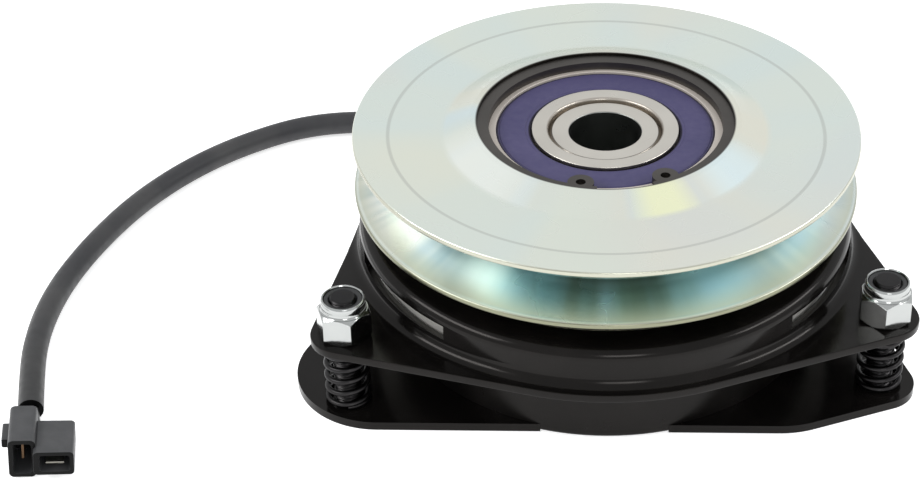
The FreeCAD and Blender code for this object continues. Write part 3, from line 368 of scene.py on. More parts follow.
def hub_metal(name, colour, shade, roughness, rings, metallic=1.0):
    """Ground steel, with painted shade in the crankshaft's bore and in the joint of sleeve and bearing.
    """
    made = bare_surface(name, colour, shade, roughness, rings, 0.004, metallic)
    radius = made.radius()
    # Painted shade in the joint of sleeve and bearing: a dark line, and a softer band beside it.
    made.tint(made.between(radius, 0.0187, 0.0190, 0.0002), (0.07, 0.062, 0.055))
    made.tint(made.between(radius, 0.0190, 0.0204, 0.0004), (0.42, 0.385, 0.34))
    # Painted shade in the crankshaft's bore.
    made.tint(made.spread(radius, 0.0131, 0.0128), (0.22, 0.23, 0.22))
    return made.material


def sleeve_vinyl():
    """Dark grey vinyl that darkens towards the connector, with black painted shade in the hollow of its
    cut end.
    """
    made = Surface("sleeve_vinyl", (0.030, 0.030, 0.033), roughness=0.48, Specular_IOR_Level=0.45)
    made.tint(made.spread(made.noise(45.0, 4.0), 0.4, 0.7), (0.048, 0.047, 0.048))
    along = made.position()[1]
    made.tint(made.spread(along, 0.010, -0.045, 0.0, 0.7), (0.020, 0.020, 0.019))
    # Painted shade in the cut end's hollow: black, and nearly without gloss.
    mouth = made.both(made.spread(made.facing()[1], -0.85, -0.95), made.spread(along, -0.050, -0.055))
    made.tint(mouth, (0.002, 0.002, 0.002))
    made.set(made.shader, {"Specular IOR Level": made.spread(mouth, 0.0, 1.0, 0.45, 0.05)})
    made.rough(made.noise(320.0, 3.0), 0.40, 0.56)
    made.bump(made.noise(35.0, 2.0), 0.5, 0.25)
    made.bump(made.noise(1500.0, 3.0), 0.04, 0.4)
    return made.material


def seal_rubber():
    """Purple rubber, darker at the seal's inner lip and outer groove."""
    made = Surface("seal_purple", (0.050, 0.044, 0.118), roughness=0.6, Specular_IOR_Level=0.4)
    made.tint(made.spread(made.noise(70.0, 4.0), 0.4, 0.75), (0.062, 0.054, 0.135))
    radius = made.radius()
    made.tint(made.spread(radius, 0.0272, 0.0268), (0.006, 0.004, 0.020))
    made.tint(made.spread(radius, 0.0374, 0.0377), (0.010, 0.008, 0.030))
    made.rough(made.noise(350.0, 4.0), 0.46, 0.66)
    made.bump(made.rings(1.4, 0.3), 0.01, 0.3)
    made.bump(made.noise(1700.0, 3.0), 0.03, 0.4)
    return made.material


PAINT = black_paint("black_paint", 0.15)
SHELL_PAINT = black_paint("shell_paint", 0.30)
PULLEY = pulley_metal()
ZINC = bare_metal("bright_zinc", (0.46, 0.47, 0.46), (0.36, 0.37, 0.37), 0.15)
BEARING = hub_metal("bearing_steel", (0.66, 0.63, 0.57), (0.55, 0.52, 0.47), 0.30, 1.6)
RACE = bare_metal("race_steel", (0.56, 0.51, 0.46), (0.47, 0.42, 0.37), 0.45, rings=1.6,
                  metallic=0.3)
MACHINED = hub_metal("machined_steel", (0.66, 0.65, 0.61), (0.56, 0.54, 0.50), 0.40, 1.2, 0.35)
BLACK_STEEL = bare_metal("black_oxide", (0.026, 0.025, 0.026), (0.045, 0.043, 0.042), 0.32)
RING_STEEL = bare_metal("dark_spring_steel", (0.085, 0.079, 0.073), (0.115, 0.106, 0.098), 0.42)
CAGE = bare_metal("cage_steel", (0.48, 0.47, 0.45), (0.40, 0.39, 0.37), 0.4)
SEAL = seal_rubber()
RUBBER = moulded("black_rubber", (0.014, 0.014, 0.014), (0.024, 0.024, 0.024), 0.62)
NYLON = moulded("black_nylon", (0.018, 0.018, 0.019), (0.032, 0.032, 0.033), 0.45)
PLUG = plug_nylon()
SLEEVE = sleeve_vinyl()
LINING = moulded("lining_composite", (0.12, 0.10, 0.08), (0.21, 0.18, 0.14), 0.8, 0.15, 900.0)
BOBBIN = moulded("bobbin_nylon", (0.50, 0.44, 0.33), (0.58, 0.52, 0.42), 0.5)
COPPER = bare_metal("winding_copper", (0.70, 0.34, 0.18), (0.55, 0.24, 0.12), 0.35)
RESIN = moulded("potting_resin", (0.012, 0.012, 0.013), (0.02, 0.02, 0.02), 0.25)
TIN = bare_metal("terminal_tin", (0.34, 0.33, 0.29), (0.26, 0.25, 0.22), 0.4)
BRASS = bare_metal("terminal_brass", (0.16, 0.10, 0.06), (0.11, 0.07, 0.045), 0.5)
INSULATION = moulded("wire_insulation", (0.022, 0.022, 0.023), (0.035, 0.035, 0.035), 0.4)

SLOT_MATERIALS = {
    "black_paint": PAINT, "pulley_zinc": PULLEY, "bright_zinc": ZINC, "bearing_steel": BEARING,
    "machined_steel": MACHINED, "spring_steel": BLACK_STEEL, "dark_ring_steel": RING_STEEL,
    "seal_rubber": SEAL, "black_rubber": RUBBER, "sleeve_plastic": SLEEVE, "connector_plastic": PLUG,
    "nylon_insert": NYLON, "friction_lining": LINING, "bobbin_plastic": BOBBIN, "copper_wire": COPPER,
    "potting_resin": RESIN, "terminal_tin": TIN, "terminal_brass": BRASS, "cage_steel": CAGE,
    "wire_insulation": INSULATION,
}


def dress_nodes():
    """Gives every CAD node the detailed material of its slot."""
    slots = {row["node"]: row["material_slot"] for row in frame["record"]["subparts"]}
    for name, node in nodes.items():
        node.data.materials.clear()
        node.data.materials.append(SLOT_MATERIALS[slots[name]])


# ---- Mesh pieces -------------------------------------------------------------------------------------


def face_outward(mesh):
    """Turns a closed mesh's faces outwards."""
    shape = bmesh.new()
    shape.from_mesh(mesh)
    bmesh.ops.recalc_face_normals(shape, faces=shape.faces)
    shape.to_mesh(mesh)
    shape.free()


def loose(name, vertices, faces):
    """A closed mesh from points in millimetres, with its faces turned outwards."""
    mesh = bpy.data.meshes.new(name)
    mesh.from_pydata([[c * MM for c in vertex] for vertex in vertices], [], faces)
    face_outward(mesh)
    made = bpy.data.objects.new(name, mesh)
    scene.collection.objects.link(made)
    return made


def finish_piece(made, material, body, stands_for, sharp=32.0):
    """Gives a piece its material, smooth shading except at sharp turns, its body, and hides the nodes
    it stands for.
    """
    face_outward(made.data)
    made.data.materials.clear()
    made.data.materials.append(material)
    made.data.shade_smooth()
    made.data.set_sharp_from_angle(angle=math.radians(sharp))
    weighted = made.modifiers.new("even_normals", "WEIGHTED_NORMAL")
    weighted.keep_sharp = True
    if body:
        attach(made, body)
    if stands_for:
        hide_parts(*stands_for)
    return made


def piece(name, vertices, faces, material, body=None, stands_for=(), sharp=32.0):
    """A finished piece from points in millimetres."""
    return finish_piece(loose(name, vertices, faces), material, body, stands_for, sharp)


def rounded(profile, steps=5):
    """Rounds the corners of a closed profile.

    Each corner is across, along and, where it is round, a radius.
    """
    points = []
    count = len(profile)
    for index, corner in enumerate(profile):
        radius = corner[2] if len(corner) > 2 else 0.0
        here = Vector(corner[:2])
        if radius <= 0:
            points.append(here)
            continue
        back = (Vector(profile[index - 1][:2]) - here).normalized()
        ahead = (Vector(profile[(index + 1) % count][:2]) - here).normalized()
        half = back.angle(ahead) / 2
        centre = here + (back + ahead).normalized() * (radius / math.sin(half))
        first = here + back * (radius / math.tan(half)) - centre
        last = here + ahead * (radius / math.tan(half)) - centre
        for step in range(steps + 1):
            share = step / steps
            points.append(centre + first.slerp(last, share) * radius)
    return points


def ring_faces(rows, columns, closed_rows=True, closed_columns=True):
    """Quads over a grid of vertices that is numbered row by row."""
    faces = []
    for row in range(rows if closed_rows else rows - 1):
        for column in range(columns if closed_columns else columns - 1):
            over = (row + 1) % rows
            beside = (column + 1) % columns
            faces.append([row * columns + column, row * columns + beside, over * columns + beside,
                          over * columns + column])
    return faces


def lathe_mesh(profile, centre=(0.0, 0.0), segments=240):
    """A profile carried round an upright axis, as vertices and faces."""
    points = rounded(profile)
    vertices = []
    for step in range(segments):
        turn = TURN * step / segments
        for across, along in points:
            vertices.append((centre[0] + across * math.cos(turn),
                             centre[1] + across * math.sin(turn), along))
    return vertices, ring_faces(segments, len(points))


def lathe(name, profile, material, body, stands_for=(), centre=(0.0, 0.0), segments=240):
    vertices, faces = lathe_mesh(profile, centre, segments)
    return piece(name, vertices, faces, material, body, stands_for)


def band(inner, outer, low, high, radius=0.4):
    """The section of a plain ring with rounded corners."""
    return [(inner, low, radius), (outer, low, radius), (outer, high, radius), (inner, high, radius)]


def outward_angle(one, other):
    """The direction in which the line over two circles faces."""
    lean = math.acos((one[2] - other[2]) / math.hypot(other[0] - one[0], other[1] - one[1]))
    return math.atan2(other[1] - one[1], other[0] - one[0]) - lean


def hull_points(circles, step_degrees=2.0):
    """The outline of a sheet stretched round circles that are given anticlockwise."""
    count = len(circles)
    angles = [outward_angle(circles[index], circles[(index + 1) % count]) for index in range(count)]
    points = []
    for index, (across, along, radius) in enumerate(circles):
        start = angles[index - 1]
        sweep = (angles[index] - start) % TURN
        steps = max(2, round(math.degrees(sweep) / step_degrees))
        for step in range(steps + 1):
            turn = start + sweep * step / steps
            points.append((across + radius * math.cos(turn), along + radius * math.sin(turn)))
    return points


def slab(name, outline, low, high):
    """A flat-topped solid over an outline, as a plain object for cutting and joining."""
    count = len(outline)
    vertices = [(x, y, low) for x, y in outline] + [(x, y, high) for x, y in outline]
    faces = [[i, (i + 1) % count, count + (i + 1) % count, count + i] for i in range(count)]
    faces.append(list(range(count))[::-1])
    faces.append(list(range(count, 2 * count)))
    return loose(name, vertices, faces)


def bar(name, low, high, radius, soft=0.3):
    """A block along Y between two corners, with rounded long edges and slightly softened ends."""
    (x0, y0, z0), (x1, y1, z1) = low, high
    sections = ((y0, soft), (y0 + 0.3 * soft, 0.3 * soft), (y0 + soft, 0.0), (y1 - soft, 0.0),
                (y1 - 0.3 * soft, 0.3 * soft), (y1, soft))
    vertices = []
    for along, inset in sections:
        left, right, bottom, top = x0 + inset, x1 - inset, z0 + inset, z1 - inset
        outline = rounded([(left, bottom, radius), (right, bottom, radius), (right, top, radius),
                           (left, top, radius)], 6)
        vertices += [(across, along, up) for across, up in outline]
    count = len(outline)
    faces = ring_faces(len(sections), count, closed_rows=False)
    faces.append(list(range(count)))
    faces.append(list(range(len(vertices) - count, len(vertices))))
    return loose(name, vertices, faces)


def disc(name, x, y, radius, low, high, segments=96):
    """A short upright cylinder."""
    outline = [(x + radius * math.cos(TURN * i / segments),
                y + radius * math.sin(TURN * i / segments)) for i in range(segments)]
    return slab(name, outline, low, high)


def combine(made, tools, operation="DIFFERENCE"):
    """Cuts the tools from a piece, or joins them to it, for good."""
    for tool in tools:
        modifier = made.modifiers.new("combine", "BOOLEAN")
        modifier.operation = operation
        modifier.solver = "EXACT"
        modifier.object = tool
    return settle(made, tools)


def settle(made, spent=()):
    """Makes the modifiers' result the piece's own mesh, and removes spent tools."""
    bpy.context.view_layer.update()
    evaluated = made.evaluated_get(bpy.context.evaluated_depsgraph_get())
    mesh = bpy.data.meshes.new_from_object(evaluated)
    made.modifiers.clear()
    made.data = mesh
    for tool in spent:
        bpy.data.objects.remove(tool)
    return made


def bevel(made, width, segments=2, angle=35.0):
    """Softens the edges that turn by more than an angle."""
    modifier = made.modifiers.new("bevel", "BEVEL")
    modifier.width = width * MM
    modifier.segments = segments
    modifier.limit_method = "ANGLE"
    modifier.angle_limit = math.radians(angle)
    modifier.harden_normals = False
    return settle(made)


def tube_mesh(path, radius, sides=16):
    """A tube along a list of points, as vertices and faces with closed ends."""
    vertices = []
    upright = Vector((0, 0, 1))
    for index, point in enumerate(path):
        before = path[max(index - 1, 0)]
        after = path[min(index + 1, len(path) - 1)]
        heading = (after - before).normalized()
        steep = abs(heading.dot(upright)) >= 0.95
        side = heading.cross(Vector((1, 0, 0)) if steep else upright).normalized()
        other = side.cross(heading)
        for step in range(sides):
            turn = TURN * step / sides
            vertices.append(point + (side * math.cos(turn) + other * math.sin(turn)) * radius)
    faces = ring_faces(len(path), sides, closed_rows=False)
    faces.append(list(range(sides))[::-1])
    faces.append([len(path) * sides - sides + i for i in range(sides)])
    return vertices, faces


# ---- The turned pieces -------------------------------------------------------------------------------


def make_pulley():
    """The pulley: a ring-shaped recess beneath, the belt groove, the web, the cone and the lip."""
    profile = [
        (42.0, 42.4, 0.5), (58.0, 42.4, 0.8), (58.0, RIM_LOW, 0.8),
        (POCKET_INSIDE, RIM_LOW, 0.5), (POCKET_INSIDE, POCKET_TOP, 1.0),
        (POCKET_OUTSIDE, POCKET_TOP, 1.0), (POCKET_OUTSIDE, RIM_LOW, 0.5),
        (RIM, RIM_LOW, 0.9), (RIM, 57.5, 0.8), (GROOVE_FLOOR, 63.66, 1.2),
        (GROOVE_FLOOR, 70.24, 1.2), (RIM, 76.4, 0.8), (RIM, RIM_TOP, 0.9),
        (86.6, RIM_TOP, 2.0), (76.5, WEB_TOP, 0.5), (57.0, WEB_TOP, 3.0),
        (47.5, LIP_TOP, 0.7), (BEARING_SEAT, LIP_TOP, 0.12), (BEARING_SEAT, 80.7),
        (SNAP_GROOVE, 80.7), (SNAP_GROOVE, BEARING_TOP), (BEARING_SEAT, BEARING_TOP),
        (BEARING_SEAT, BEARING_LOW), (42.0, BEARING_LOW, 0.3),
    ]
    lathe("pulley_turned", profile, PULLEY, "pulley", ["pulley"], segments=360)


def make_bearing_faces():
    """The bearing's two rings and upper seal, and the hub's sleeve inside them."""
    outer = [(38.4, BEARING_LOW, 0.3), (BEARING_RADIUS, BEARING_LOW, 0.8),
             (BEARING_RADIUS, BEARING_TOP, 0.8), (38.4, BEARING_TOP, 0.3)]
    lathe("pulley_bearing_outer", outer, RACE, "pulley", ["pulley_bearing_outer_ring"])
    inner = [(20.0, BEARING_LOW, 0.8), (25.8, BEARING_LOW, 0.3), (25.8, BEARING_TOP, 0.35),
             (20.0, BEARING_TOP, 1.1)]
    lathe("pulley_bearing_inner", inner, BEARING, "rotor", ["pulley_bearing_inner_ring"],
          segments=160)
    seal = [
        (26.2, 75.75), (26.6, 75.6), (38.38, 75.6), (38.38, 76.55), (37.9, 76.75, 0.1),
        (37.3, 76.75, 0.1), (37.0, 77.0, 0.25), (28.2, 77.0, 0.25), (27.8, 76.7, 0.1),
        (26.9, 76.7, 0.2), (26.2, 76.2, 0.1),
    ]
    lathe("pulley_bearing_seal", seal, SEAL, "pulley", ["pulley_bearing_upper_seal"])
    sleeve = [(SLEEVE_BORE, 58.0), (SLEEVE_OUTSIDE, 58.0), (SLEEVE_OUTSIDE, 74.9),
              (18.7, SLEEVE_TOP, 0.3), (SLEEVE_BORE, SLEEVE_TOP, 0.6)]
    lathe("hub_sleeve_turned", sleeve, BEARING, "rotor", ["hub_sleeve"],
          segments=160)


def make_shell():
    """The field shell: the coil's channel, and the field bearing's seat with a ring groove."""
    profile = [
        (34.02, 0.0, 0.4), (SHELL_RADIUS, 0.0, 1.6), (SHELL_RADIUS, SHELL_TOP, 0.9),
        (72.5, SHELL_TOP, 0.4), (72.5, SHELL_FLOOR, 1.0), (44.0, SHELL_FLOOR, 1.0),
        (44.0, SHELL_TOP, 0.4), (30.0, SHELL_TOP, 0.4), (30.0, 23.02), (34.02, 23.02),
        (34.02, 8.0), (35.5, 8.0), (35.5, 6.3), (34.02, 6.3),
    ]
    lathe("field_shell_turned", profile, SHELL_PAINT, "field", ["field_shell"])


def make_leaf_springs():
    """Thin flat strips between a rivet in the pulley and one further round in the armature."""
    for number, azimuth in enumerate((0.0, 120.0, 240.0), start=1):
        ends = []
        for radius, turn in ((52.0, azimuth), (66.0, azimuth + 52.0)):
            ends.append((radius * math.cos(math.radians(turn)), radius * math.sin(math.radians(turn))))
        made = slab(f"bending_leaf_{number}", hull_points([(x, y, 6.8) for x, y in ends]),
                    LEAF_HEIGHT - 0.38, LEAF_HEIGHT + 0.38)
        combine(made, [disc(f"leaf_hole_{i}", x, y, 2.75, 41, 43, 48)
                       for i, (x, y) in enumerate(ends)])
        bevel(made, 0.12)
        finish_piece(made, MACHINED, None, [f"leaf_spring_{number}"])
        settle(made)
        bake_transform(made)


def make_lining():
    """The friction ring under the top of the brake flange."""
    lathe("brake_lining_ring", band(76.5, 84.0, 41.75, 42.78, 0.2), LINING, "brake_flange",
          ["brake_lining"])


# ---- The brake flange and the field plate ------------------------------------------------------------

FLANGE_ROUNDS = []
for (stud_x, stud_y), core in zip(STUDS, (93.0, 88.6, 88.6)):
    FLANGE_ROUNDS += [(stud_x, stud_y, FLANGE_CORNER), (0.0, 0.0, core)]


def outline_radius(circles, azimuth):
    """How far the hull of circles reaches from the origin in one direction."""
    way = Vector((math.cos(azimuth), math.sin(azimuth)))
    outline = hull_points(circles, 1.0)
    best = 0.0
    for index, here in enumerate(outline):
        start = Vector(here)
        run = Vector(outline[(index + 1) % len(outline)]) - start
        across = way.x * run.y - way.y * run.x
        if abs(across) < 1e-9:
            continue
        reach = (start.x * run.y - start.y * run.x) / across
        share = (start.x * way.y - start.y * way.x) / across
        if -1e-6 <= share <= 1 + 1e-6 and reach > best:
            best = reach
    return best


def flange_section(reach):
    """The pressed sheet's section in one direction: its points, and where a window cuts it.

    It runs from the outer edge beneath the foot, up inside the drum, over its top and down outside.
    The foot's bend is cut short where the sheet ends close to the drum.
    """
    bend_across, bend_along, bend = 92.4, 35.9, 4.4
    edge = max(0.1, min(0.5, reach - bend_across))
    cosine = max(-1.0, min(0.0, (reach - edge - bend_across) / bend))
    foot_end = TURN - math.acos(cosine)
    top = bend_along + bend * math.sin(foot_end)
    points = [(reach - 0.3 * edge, top - 0.28 * edge), (reach, top - edge), (reach, 29.0),
              (reach - 0.15, 28.64), (reach - 0.5, FLANGE_LOW), (86.2, FLANGE_LOW),
              (85.35, 28.85), (DRUM_INSIDE, 29.7)]
    inner_low, inner_high = len(points), len(points) + 1
    points += [(DRUM_INSIDE, 35.0), (DRUM_INSIDE, 41.5)]
    points += [(84.9, 42.3), (84.5, 42.75), (83.9, FLANGE_UNDERSIDE), (76.4, FLANGE_UNDERSIDE),
               (76.12, 42.92), (DRUM_OPENING, 43.2), (DRUM_OPENING, 45.4), (76.12, 45.68),
               (76.4, FLANGE_TOP)]
    shoulder_across, shoulder_along, shoulder = 83.7, 41.5, 4.3
    for step in range(9):
        turn = math.radians(90 - 90 * step / 8)
        points.append((shoulder_across + shoulder * math.cos(turn),
                       shoulder_along + shoulder * math.sin(turn)))
    outer_high, outer_low = len(points) - 1, len(points)
    points.append((DRUM_OUTSIDE, bend_along))
    for step in range(1, 8):
        turn = math.pi + (foot_end - math.pi) * step / 7
        points.append((bend_across + bend * math.cos(turn), bend_along + bend * math.sin(turn)))
    points.append((reach - edge, top))
    return points, (inner_low, inner_high, outer_high, outer_low)


def in_window(azimuth):
    """Whether a gauge window is open in one direction, in degrees."""
    return any(abs((azimuth - centre + 180) % 360 - 180) < WINDOW_HALF_ANGLE
               for centre in STUD_AZIMUTHS)


def make_flange():
    """The brake flange, as one section carried round the axis, with its three windows left open."""
    segments = 480
    vertices = []
    for step in range(segments):
        azimuth = TURN * step / segments
        section, cut = flange_section(outline_radius(FLANGE_ROUNDS, azimuth))
        vertices += [(r * math.cos(azimuth), r * math.sin(azimuth), z) for r, z in section]
    columns = len(section)
    inner_low, inner_high, outer_high, outer_low = cut
    faces = []
    for step in range(segments):
        here, beyond = step * columns, (step + 1) % segments * columns
        opened = in_window(360.0 * (step + 0.5) / segments)
        crossings = [(column, (column + 1) % columns) for column in range(columns)
                     if not (opened and column in (inner_low, outer_high))]
        if opened:
            crossings += [(inner_low, outer_low), (inner_high, outer_high)]
        faces += [[here + one, here + other, beyond + other, beyond + one]
                  for one, other in crossings]
        if opened != in_window(360.0 * (step - 0.5) / segments):
            faces.append([here + corner for corner in cut])
    made = loose("brake_flange_pressed", vertices, faces)
    combine(made, [disc(f"hole_{i}", x, y, 5.2, 25, 35, 48) for i, (x, y) in enumerate(STUDS)])
    finish_piece(made, PAINT, "brake_flange", ["brake_flange"])


PLATE_ROUNDS = [(-81.0, -38.0, 30.3), (57.0, -45.0, 32.0), (92.665, -53.5, 12.5), (55.0, 92.0, 15.0),
                (0.0, 107.0, 14.0)]


def make_plate():
    """The field plate: a flat sheet with the shell's hole and an open-ended slot."""
    made = slab("field_plate_sheet", hull_points(PLATE_ROUNDS), 0.0, PLATE_THICKNESS)
    slot = slab("slot_cutter", hull_points([(54.0, 90.3, 7.15), (74.6, 124.7, 7.15)], 6.0), -1, 5)
    combine(made, [disc("shell_cutter", 0, 0, SHELL_RADIUS + 0.05, -1, 5, 360), slot])
    bevel(made, 0.35)
    finish_piece(made, PAINT, "field", ["field_plate"])


# ---- Studs, springs and locknuts ---------------------------------------------------------------------


def make_studs():
    """Threaded studs, whose radius follows a groove that winds round with the height."""
    sides, rows_per_turn = 32, 8
    crest, thread_depth, chamfer = 4.72, 0.85, 0.7
    rows = int(STUD_TOP / THREAD_PITCH * rows_per_turn)
    for number, (x, y) in enumerate(STUDS, start=1):
        vertices = []
        for row in range(rows + 1):
            z = STUD_TOP * row / rows
            taper = max(0.0, z - STUD_TOP + chamfer) * 1.1
            for side in range(sides):
                turn = TURN * side / sides
                phase = (z / THREAD_PITCH - side / sides) % 1.0
                groove = min(1.0, max(0.0, 1.25 - 2.5 * abs(phase - 0.5)) * 0.9)
                r = min(crest - thread_depth * (1 - groove), crest - taper)
                vertices.append((x + r * math.cos(turn), y + r * math.sin(turn), z))
        faces = ring_faces(rows + 1, sides, closed_rows=False)
        faces.append(list(range(sides))[::-1])
        faces.append([rows * sides + side for side in range(sides)])
        piece(f"threaded_stud_{number}", vertices, faces, BLACK_STEEL, "field",
              [f"brake_stud_{number}"], sharp=50.0)


def spring_height(wound, turns, low, high, rise):
    """The height of the wire: level at both ends, over one turn each, and steady between."""
    if wound < 1.0:
        return low + rise * wound * wound * 0.5
    left = turns - wound
    if left < 1.0:
        return high - rise * left * left * 0.5
    return low + rise * 0.5 + (high - low - rise) * (wound - 1.0) / (turns - 2.0)


def make_springs():
    """Compression springs with closed ends, between the two plates."""
    low, high = 4.3, 27.4
    wire, coil, turns, rise = 1.0, 7.1, 6.2, 2.05
    steps = 340
    for number, ((x, y), azimuth) in enumerate(zip(STUDS, STUD_AZIMUTHS), start=1):
        path = []
        for step in range(steps + 1):
            wound = turns * step / steps
            turn = math.radians(azimuth + 60) + TURN * wound
            path.append(Vector((x + coil * math.cos(turn), y + coil * math.sin(turn),
                                spring_height(wound, turns, low, high, rise))))
        vertices, faces = tube_mesh(path, wire, 14)
        made = piece(f"wound_spring_{number}", vertices, faces, BLACK_STEEL, None,
                     [f"brake_spring_{number}"], sharp=50.0)
        made.modifiers.clear()
        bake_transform(made)


def nut_vertices(x, y, turned):
    """A chamfered hexagon with a rounded collar over it."""
    apothem, corner, height = 8.487, 9.8, 10.6
    segments = 144
    rows = []
    for z in (0.0, 0.14, 0.34, 0.56, 0.8, 1.05, 1.3, 1.55, 5.3, 9.05, 9.3, 9.55, 9.8, 10.04,
              10.26, 10.46, height):
        edge = min(z, height - z)
        rows.append((z, apothem - 0.12 + edge))
    collar = [(height, 8.1), (11.0, 7.75), (11.5, 7.52), (12.0, 7.5), (12.5, 7.62), (13.0, 7.7),
              (13.8, 7.7), (14.3, 7.6), (14.65, 7.4), (14.8, 7.1), (14.76, 6.9), (14.5, 6.74),
              (14.1, 6.7), (11.7, 6.7), (11.7, 4.85), (0.3, 4.82), (0.0, 5.1)]
    vertices = []
    for step in range(segments):
        turn = TURN * step / segments
        off = (math.degrees(turn) % 60) - 30
        flat = apothem / math.cos(math.radians(off))
        angle = turn + math.radians(turned)
        for z, cone in rows:
            r = min(flat, cone, corner)
            vertices.append((x + r * math.cos(angle), y + r * math.sin(angle), NUT_FOOT + z))
        for z, r in collar:
            vertices.append((x + r * math.cos(angle), y + r * math.sin(angle), NUT_FOOT + z))
    return vertices, ring_faces(segments, len(rows) + len(collar))


def make_nuts():
    """The locknuts, each with its nylon ring in the collar."""
    for number, ((x, y), turned) in enumerate(zip(STUDS, NUT_TURNS), start=1):
        vertices, faces = nut_vertices(x, y, turned)
        piece(f"locknut_{number}", vertices, faces, ZINC, f"nut_{number}",
              [f"brake_nut_{number}"], sharp=24.0)
        insert = [(4.8, INSERT_FOOT), (6.67, INSERT_FOOT), (6.67, INSERT_FOOT + 2.55, 0.3),
                  (4.8, INSERT_FOOT + 2.45, 0.7)]
        lathe(f"locking_ring_{number}", insert, NYLON, f"nut_{number}",
              [f"nut_insert_{number}"], (x, y), 72)


# ---- The lead and its connector ----------------------------------------------------------------------

# The lead leaves the shell, comes down to the floor behind the clutch, and lies on it from there.
LEAD_ROUTE = [
    (-31.5, 78.0, LEAD_EXIT_HEIGHT), (-37.5, 92.8, 12.4), (-48.0, 109.0, 9.2), (-65.0, 121.6, 5.3),
    (-88.0, 126.8, 4.6),
]
LEAD_ROUTE += [(across, along, LEAD_RADIUS) for across, along in (
    (-113.5, 125.0), (-138.0, 112.3), (-158.3, 95.6), (-175.8, 74.3), (-189.1, 50.5),
    (-199.5, 24.8), (-205.0, 2.2), (-206.8, -19.5), (-205.4, -39.5), (-203.4, -57.0))]
LEFT_WIRE = [(-204.9, -55.5, 4.5), (-204.8, -61.8, 5.2), (-204.6, -69.5, 7.4)]
RIGHT_WIRE = [(-202.2, -55.5, 4.5), (-200.8, -64.0, 5.2), (-197.0, -74.8, 7.6)]


def route_curve(name, route, radius, material):
    """A smooth round line that follows a route's control points."""
    data = bpy.data.curves.new(name, "CURVE")
    data.dimensions = "3D"
    spline = data.splines.new("NURBS")
    spline.points.add(len(route) - 1)
    for point, place in zip(spline.points, route):
        point.co = (*[c * MM for c in place], 1.0)
    spline.order_u = 3
    spline.use_endpoint_u = True
    spline.resolution_u = 16
    data.bevel_depth = radius * MM
    data.bevel_resolution = 8
    data.use_fill_caps = True
    data.materials.append(material)
    made = bpy.data.objects.new(name, data)
    scene.collection.objects.link(made)
    return made


def make_line(name, route, radius, material, stands_for):
    """A round line that stays with the field and takes the place of one CAD node."""
    made = route_curve(name, route, radius, material)
    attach(made, "field")
    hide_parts(stands_for)
    return made


def make_lead():
    """The sleeve, and the two wires that leave it for the connector."""
    sleeve = make_line("lead_sleeve_line", LEAD_ROUTE, LEAD_RADIUS, SLEEVE, "lead_sleeve")
    wires = [make_line(f"lead_wire_{side}_line", route, 1.3, INSULATION, f"lead_wire_{side}")
             for side, route in (("left", LEFT_WIRE), ("right", RIGHT_WIRE))]
    return sleeve, wires


def make_grommet():
    """The grommet in the shell's wall: a flange, and a ribbed nose round the sleeve."""
    profile = [
        (0.01, 72.0), (6.4, 72.0), (6.4, 76.7), (7.9, 76.7, 0.6), (7.9, 79.2, 0.9), (6.3, 79.8, 0.5),
        (6.1, 81.2, 0.3), (5.7, 81.6, 0.2), (6.1, 82.0, 0.3), (6.0, 83.9, 0.5), (0.01, 84.0),
    ]
    azimuth = math.radians(112)
    vertices, faces = lathe_mesh(profile, segments=64)
    made = piece("lead_grommet_moulded", vertices, faces, RUBBER)
    way = Vector((math.cos(azimuth), math.sin(azimuth), 0))
    turned = way.to_track_quat("Z", "Y").to_matrix().to_4x4()
    made.data.transform(Matrix.Translation((0, 0, LEAD_EXIT_HEIGHT * MM)) @ turned)
    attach(made, "field")
    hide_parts("lead_grommet")


def make_connector():
    """A two-way plug that leans a little, with a blade in each socket.

    The socket on the left is upright and the one on the right is level. A latch tab is on the left.
    """
    made = bar("plug_housing", (-208.7, -87.7, 0.0), (-199.5, -68.7, 15.8), 1.7)
    combine(made, [
        bar("plug_right", (-200.3, -90.9, 3.4), (-186.7, -73.7, 13.2), 1.4),
        bar("plug_tab", (-211.4, -79.5, 6.2), (-208.1, -70.6, 9.8), 0.6),
    ], "UNION")
    combine(made, [
        bar("cavity_left", (-207.2, -89.7, 1.6), (-200.9, -74.2, 14.2), 1.1),
        bar("cavity_right", (-198.3, -92.7, 4.9), (-188.1, -78.2, 11.7), 1.0),
    ])
    bevel(made, 0.12, angle=60.0)
    left = bar("left_blade", (-204.5, -83.7, 4.8), (-203.6, -74.1, 11.0), 0.3, 0.2)
    right = bar("right_blade", (-196.3, -89.1, 6.9), (-190.1, -78.1, 7.7), 0.3, 0.2)
    foot = Matrix.Translation(Vector((-199.5, -68.7, 0.0)) * MM)
    turn = Matrix.Rotation(math.radians(5.0), 4, "Z")
    lean = Matrix.Rotation(math.radians(5.0), 4, "Y")
    for shape, material, node, slot in (
            (made, PLUG, "connector_housing", "connector_plastic"),
            (left, BRASS, "connector_terminal_left", "terminal_brass"),
            (right, TIN, "connector_terminal_right", "terminal_tin")):
        shape.data.transform(foot @ turn @ lean @ foot.inverted())
        finish_piece(shape, material, "field", [node])
    return made, left, right


# ---- Floor, lights and camera ------------------------------------------------------------------------


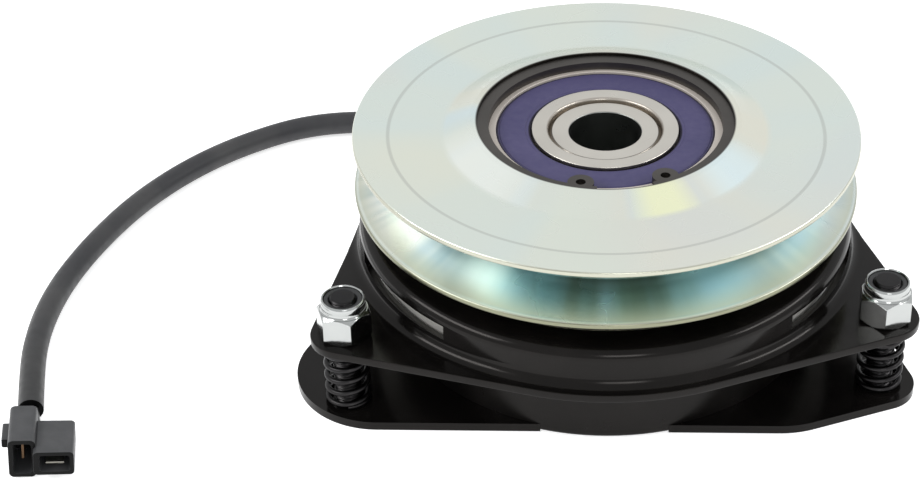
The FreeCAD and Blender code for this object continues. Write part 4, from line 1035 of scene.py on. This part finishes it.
def make_floor():
    """A plain white floor, a hair below the part."""
    mesh = bpy.data.meshes.new("floor")
    size = 6.0
    corners = [(-size, -size, 0), (size, -size, 0), (size, size, 0), (-size, size, 0)]
    mesh.from_pydata(corners, [], [[0, 1, 2, 3]])
    floor = bpy.data.objects.new("floor", mesh)
    floor.location.z = -0.0002
    scene.collection.objects.link(floor)
    plain = Surface("floor_white", (0.90, 0.90, 0.90), roughness=0.9)
    plain.set(plain.shader, {"Emission Color": (1, 1, 1, 1), "Emission Strength": 0.62})
    floor.data.materials.append(plain.material)


def softbox(name, place, aim_height, size, power):
    """A white rectangular lamp at a place in metres, aimed at a height on the Z axis."""
    data = bpy.data.lights.new(name, "AREA")
    data.shape = "RECTANGLE"
    data.size, data.size_y = size
    data.energy = power
    lamp = bpy.data.objects.new(name, data)
    lamp.location = place
    way = Vector((0, 0, aim_height)) - Vector(place)
    lamp.rotation_euler = way.to_track_quat("-Z", "Y").to_euler()
    scene.collection.objects.link(lamp)


def make_lights():
    """An even, faintly cool surround, two side lamps and a weaker one in front."""
    world = bpy.data.worlds.new("studio")
    scene.world = world
    world.use_nodes = True
    background = world.node_tree.nodes["Background"]
    background.inputs["Color"].default_value = (0.97, 0.985, 1.0, 1.0)
    background.inputs["Strength"].default_value = 0.88
    softbox("key_left", (-0.95, -0.25, 0.72), 0.04, (0.9, 0.26), 5.6)
    softbox("key_right", (1.0, -0.15, 0.72), 0.04, (0.9, 0.16), 3.8)
    softbox("front", (0.1, -1.3, 0.6), 0.03, (0.4, 0.3), 2.0)


def make_camera():
    """A camera in front of the part and above it, looking down by about 35 degrees."""
    data = bpy.data.cameras.new("camera")
    data.lens = 89.2
    data.sensor_width = 36.0
    data.clip_start = 0.01
    camera = bpy.data.objects.new("camera", data)
    right = Vector((0.99952, -0.02120, -0.02259))
    up = Vector((0.03065, 0.57075, 0.82055))
    ahead = Vector((0.00450, 0.82085, -0.57113))
    turned = Matrix((right, up, -ahead)).transposed().to_4x4()
    place = Vector((-55.40, -679.62, 503.95)) * MM
    camera.matrix_world = Matrix.Translation(place) @ turned
    scene.collection.objects.link(camera)
    scene.camera = camera


dress_nodes()
make_pulley()
make_bearing_faces()
make_shell()
make_leaf_springs()
make_lining()
make_flange()
make_plate()
make_studs()
make_springs()
make_nuts()
make_grommet()
sleeve, wires = make_lead()
connector, left_blade, right_blade = make_connector()
make_floor()
make_lights()
make_camera()
scene.view_settings.view_transform = "Standard"
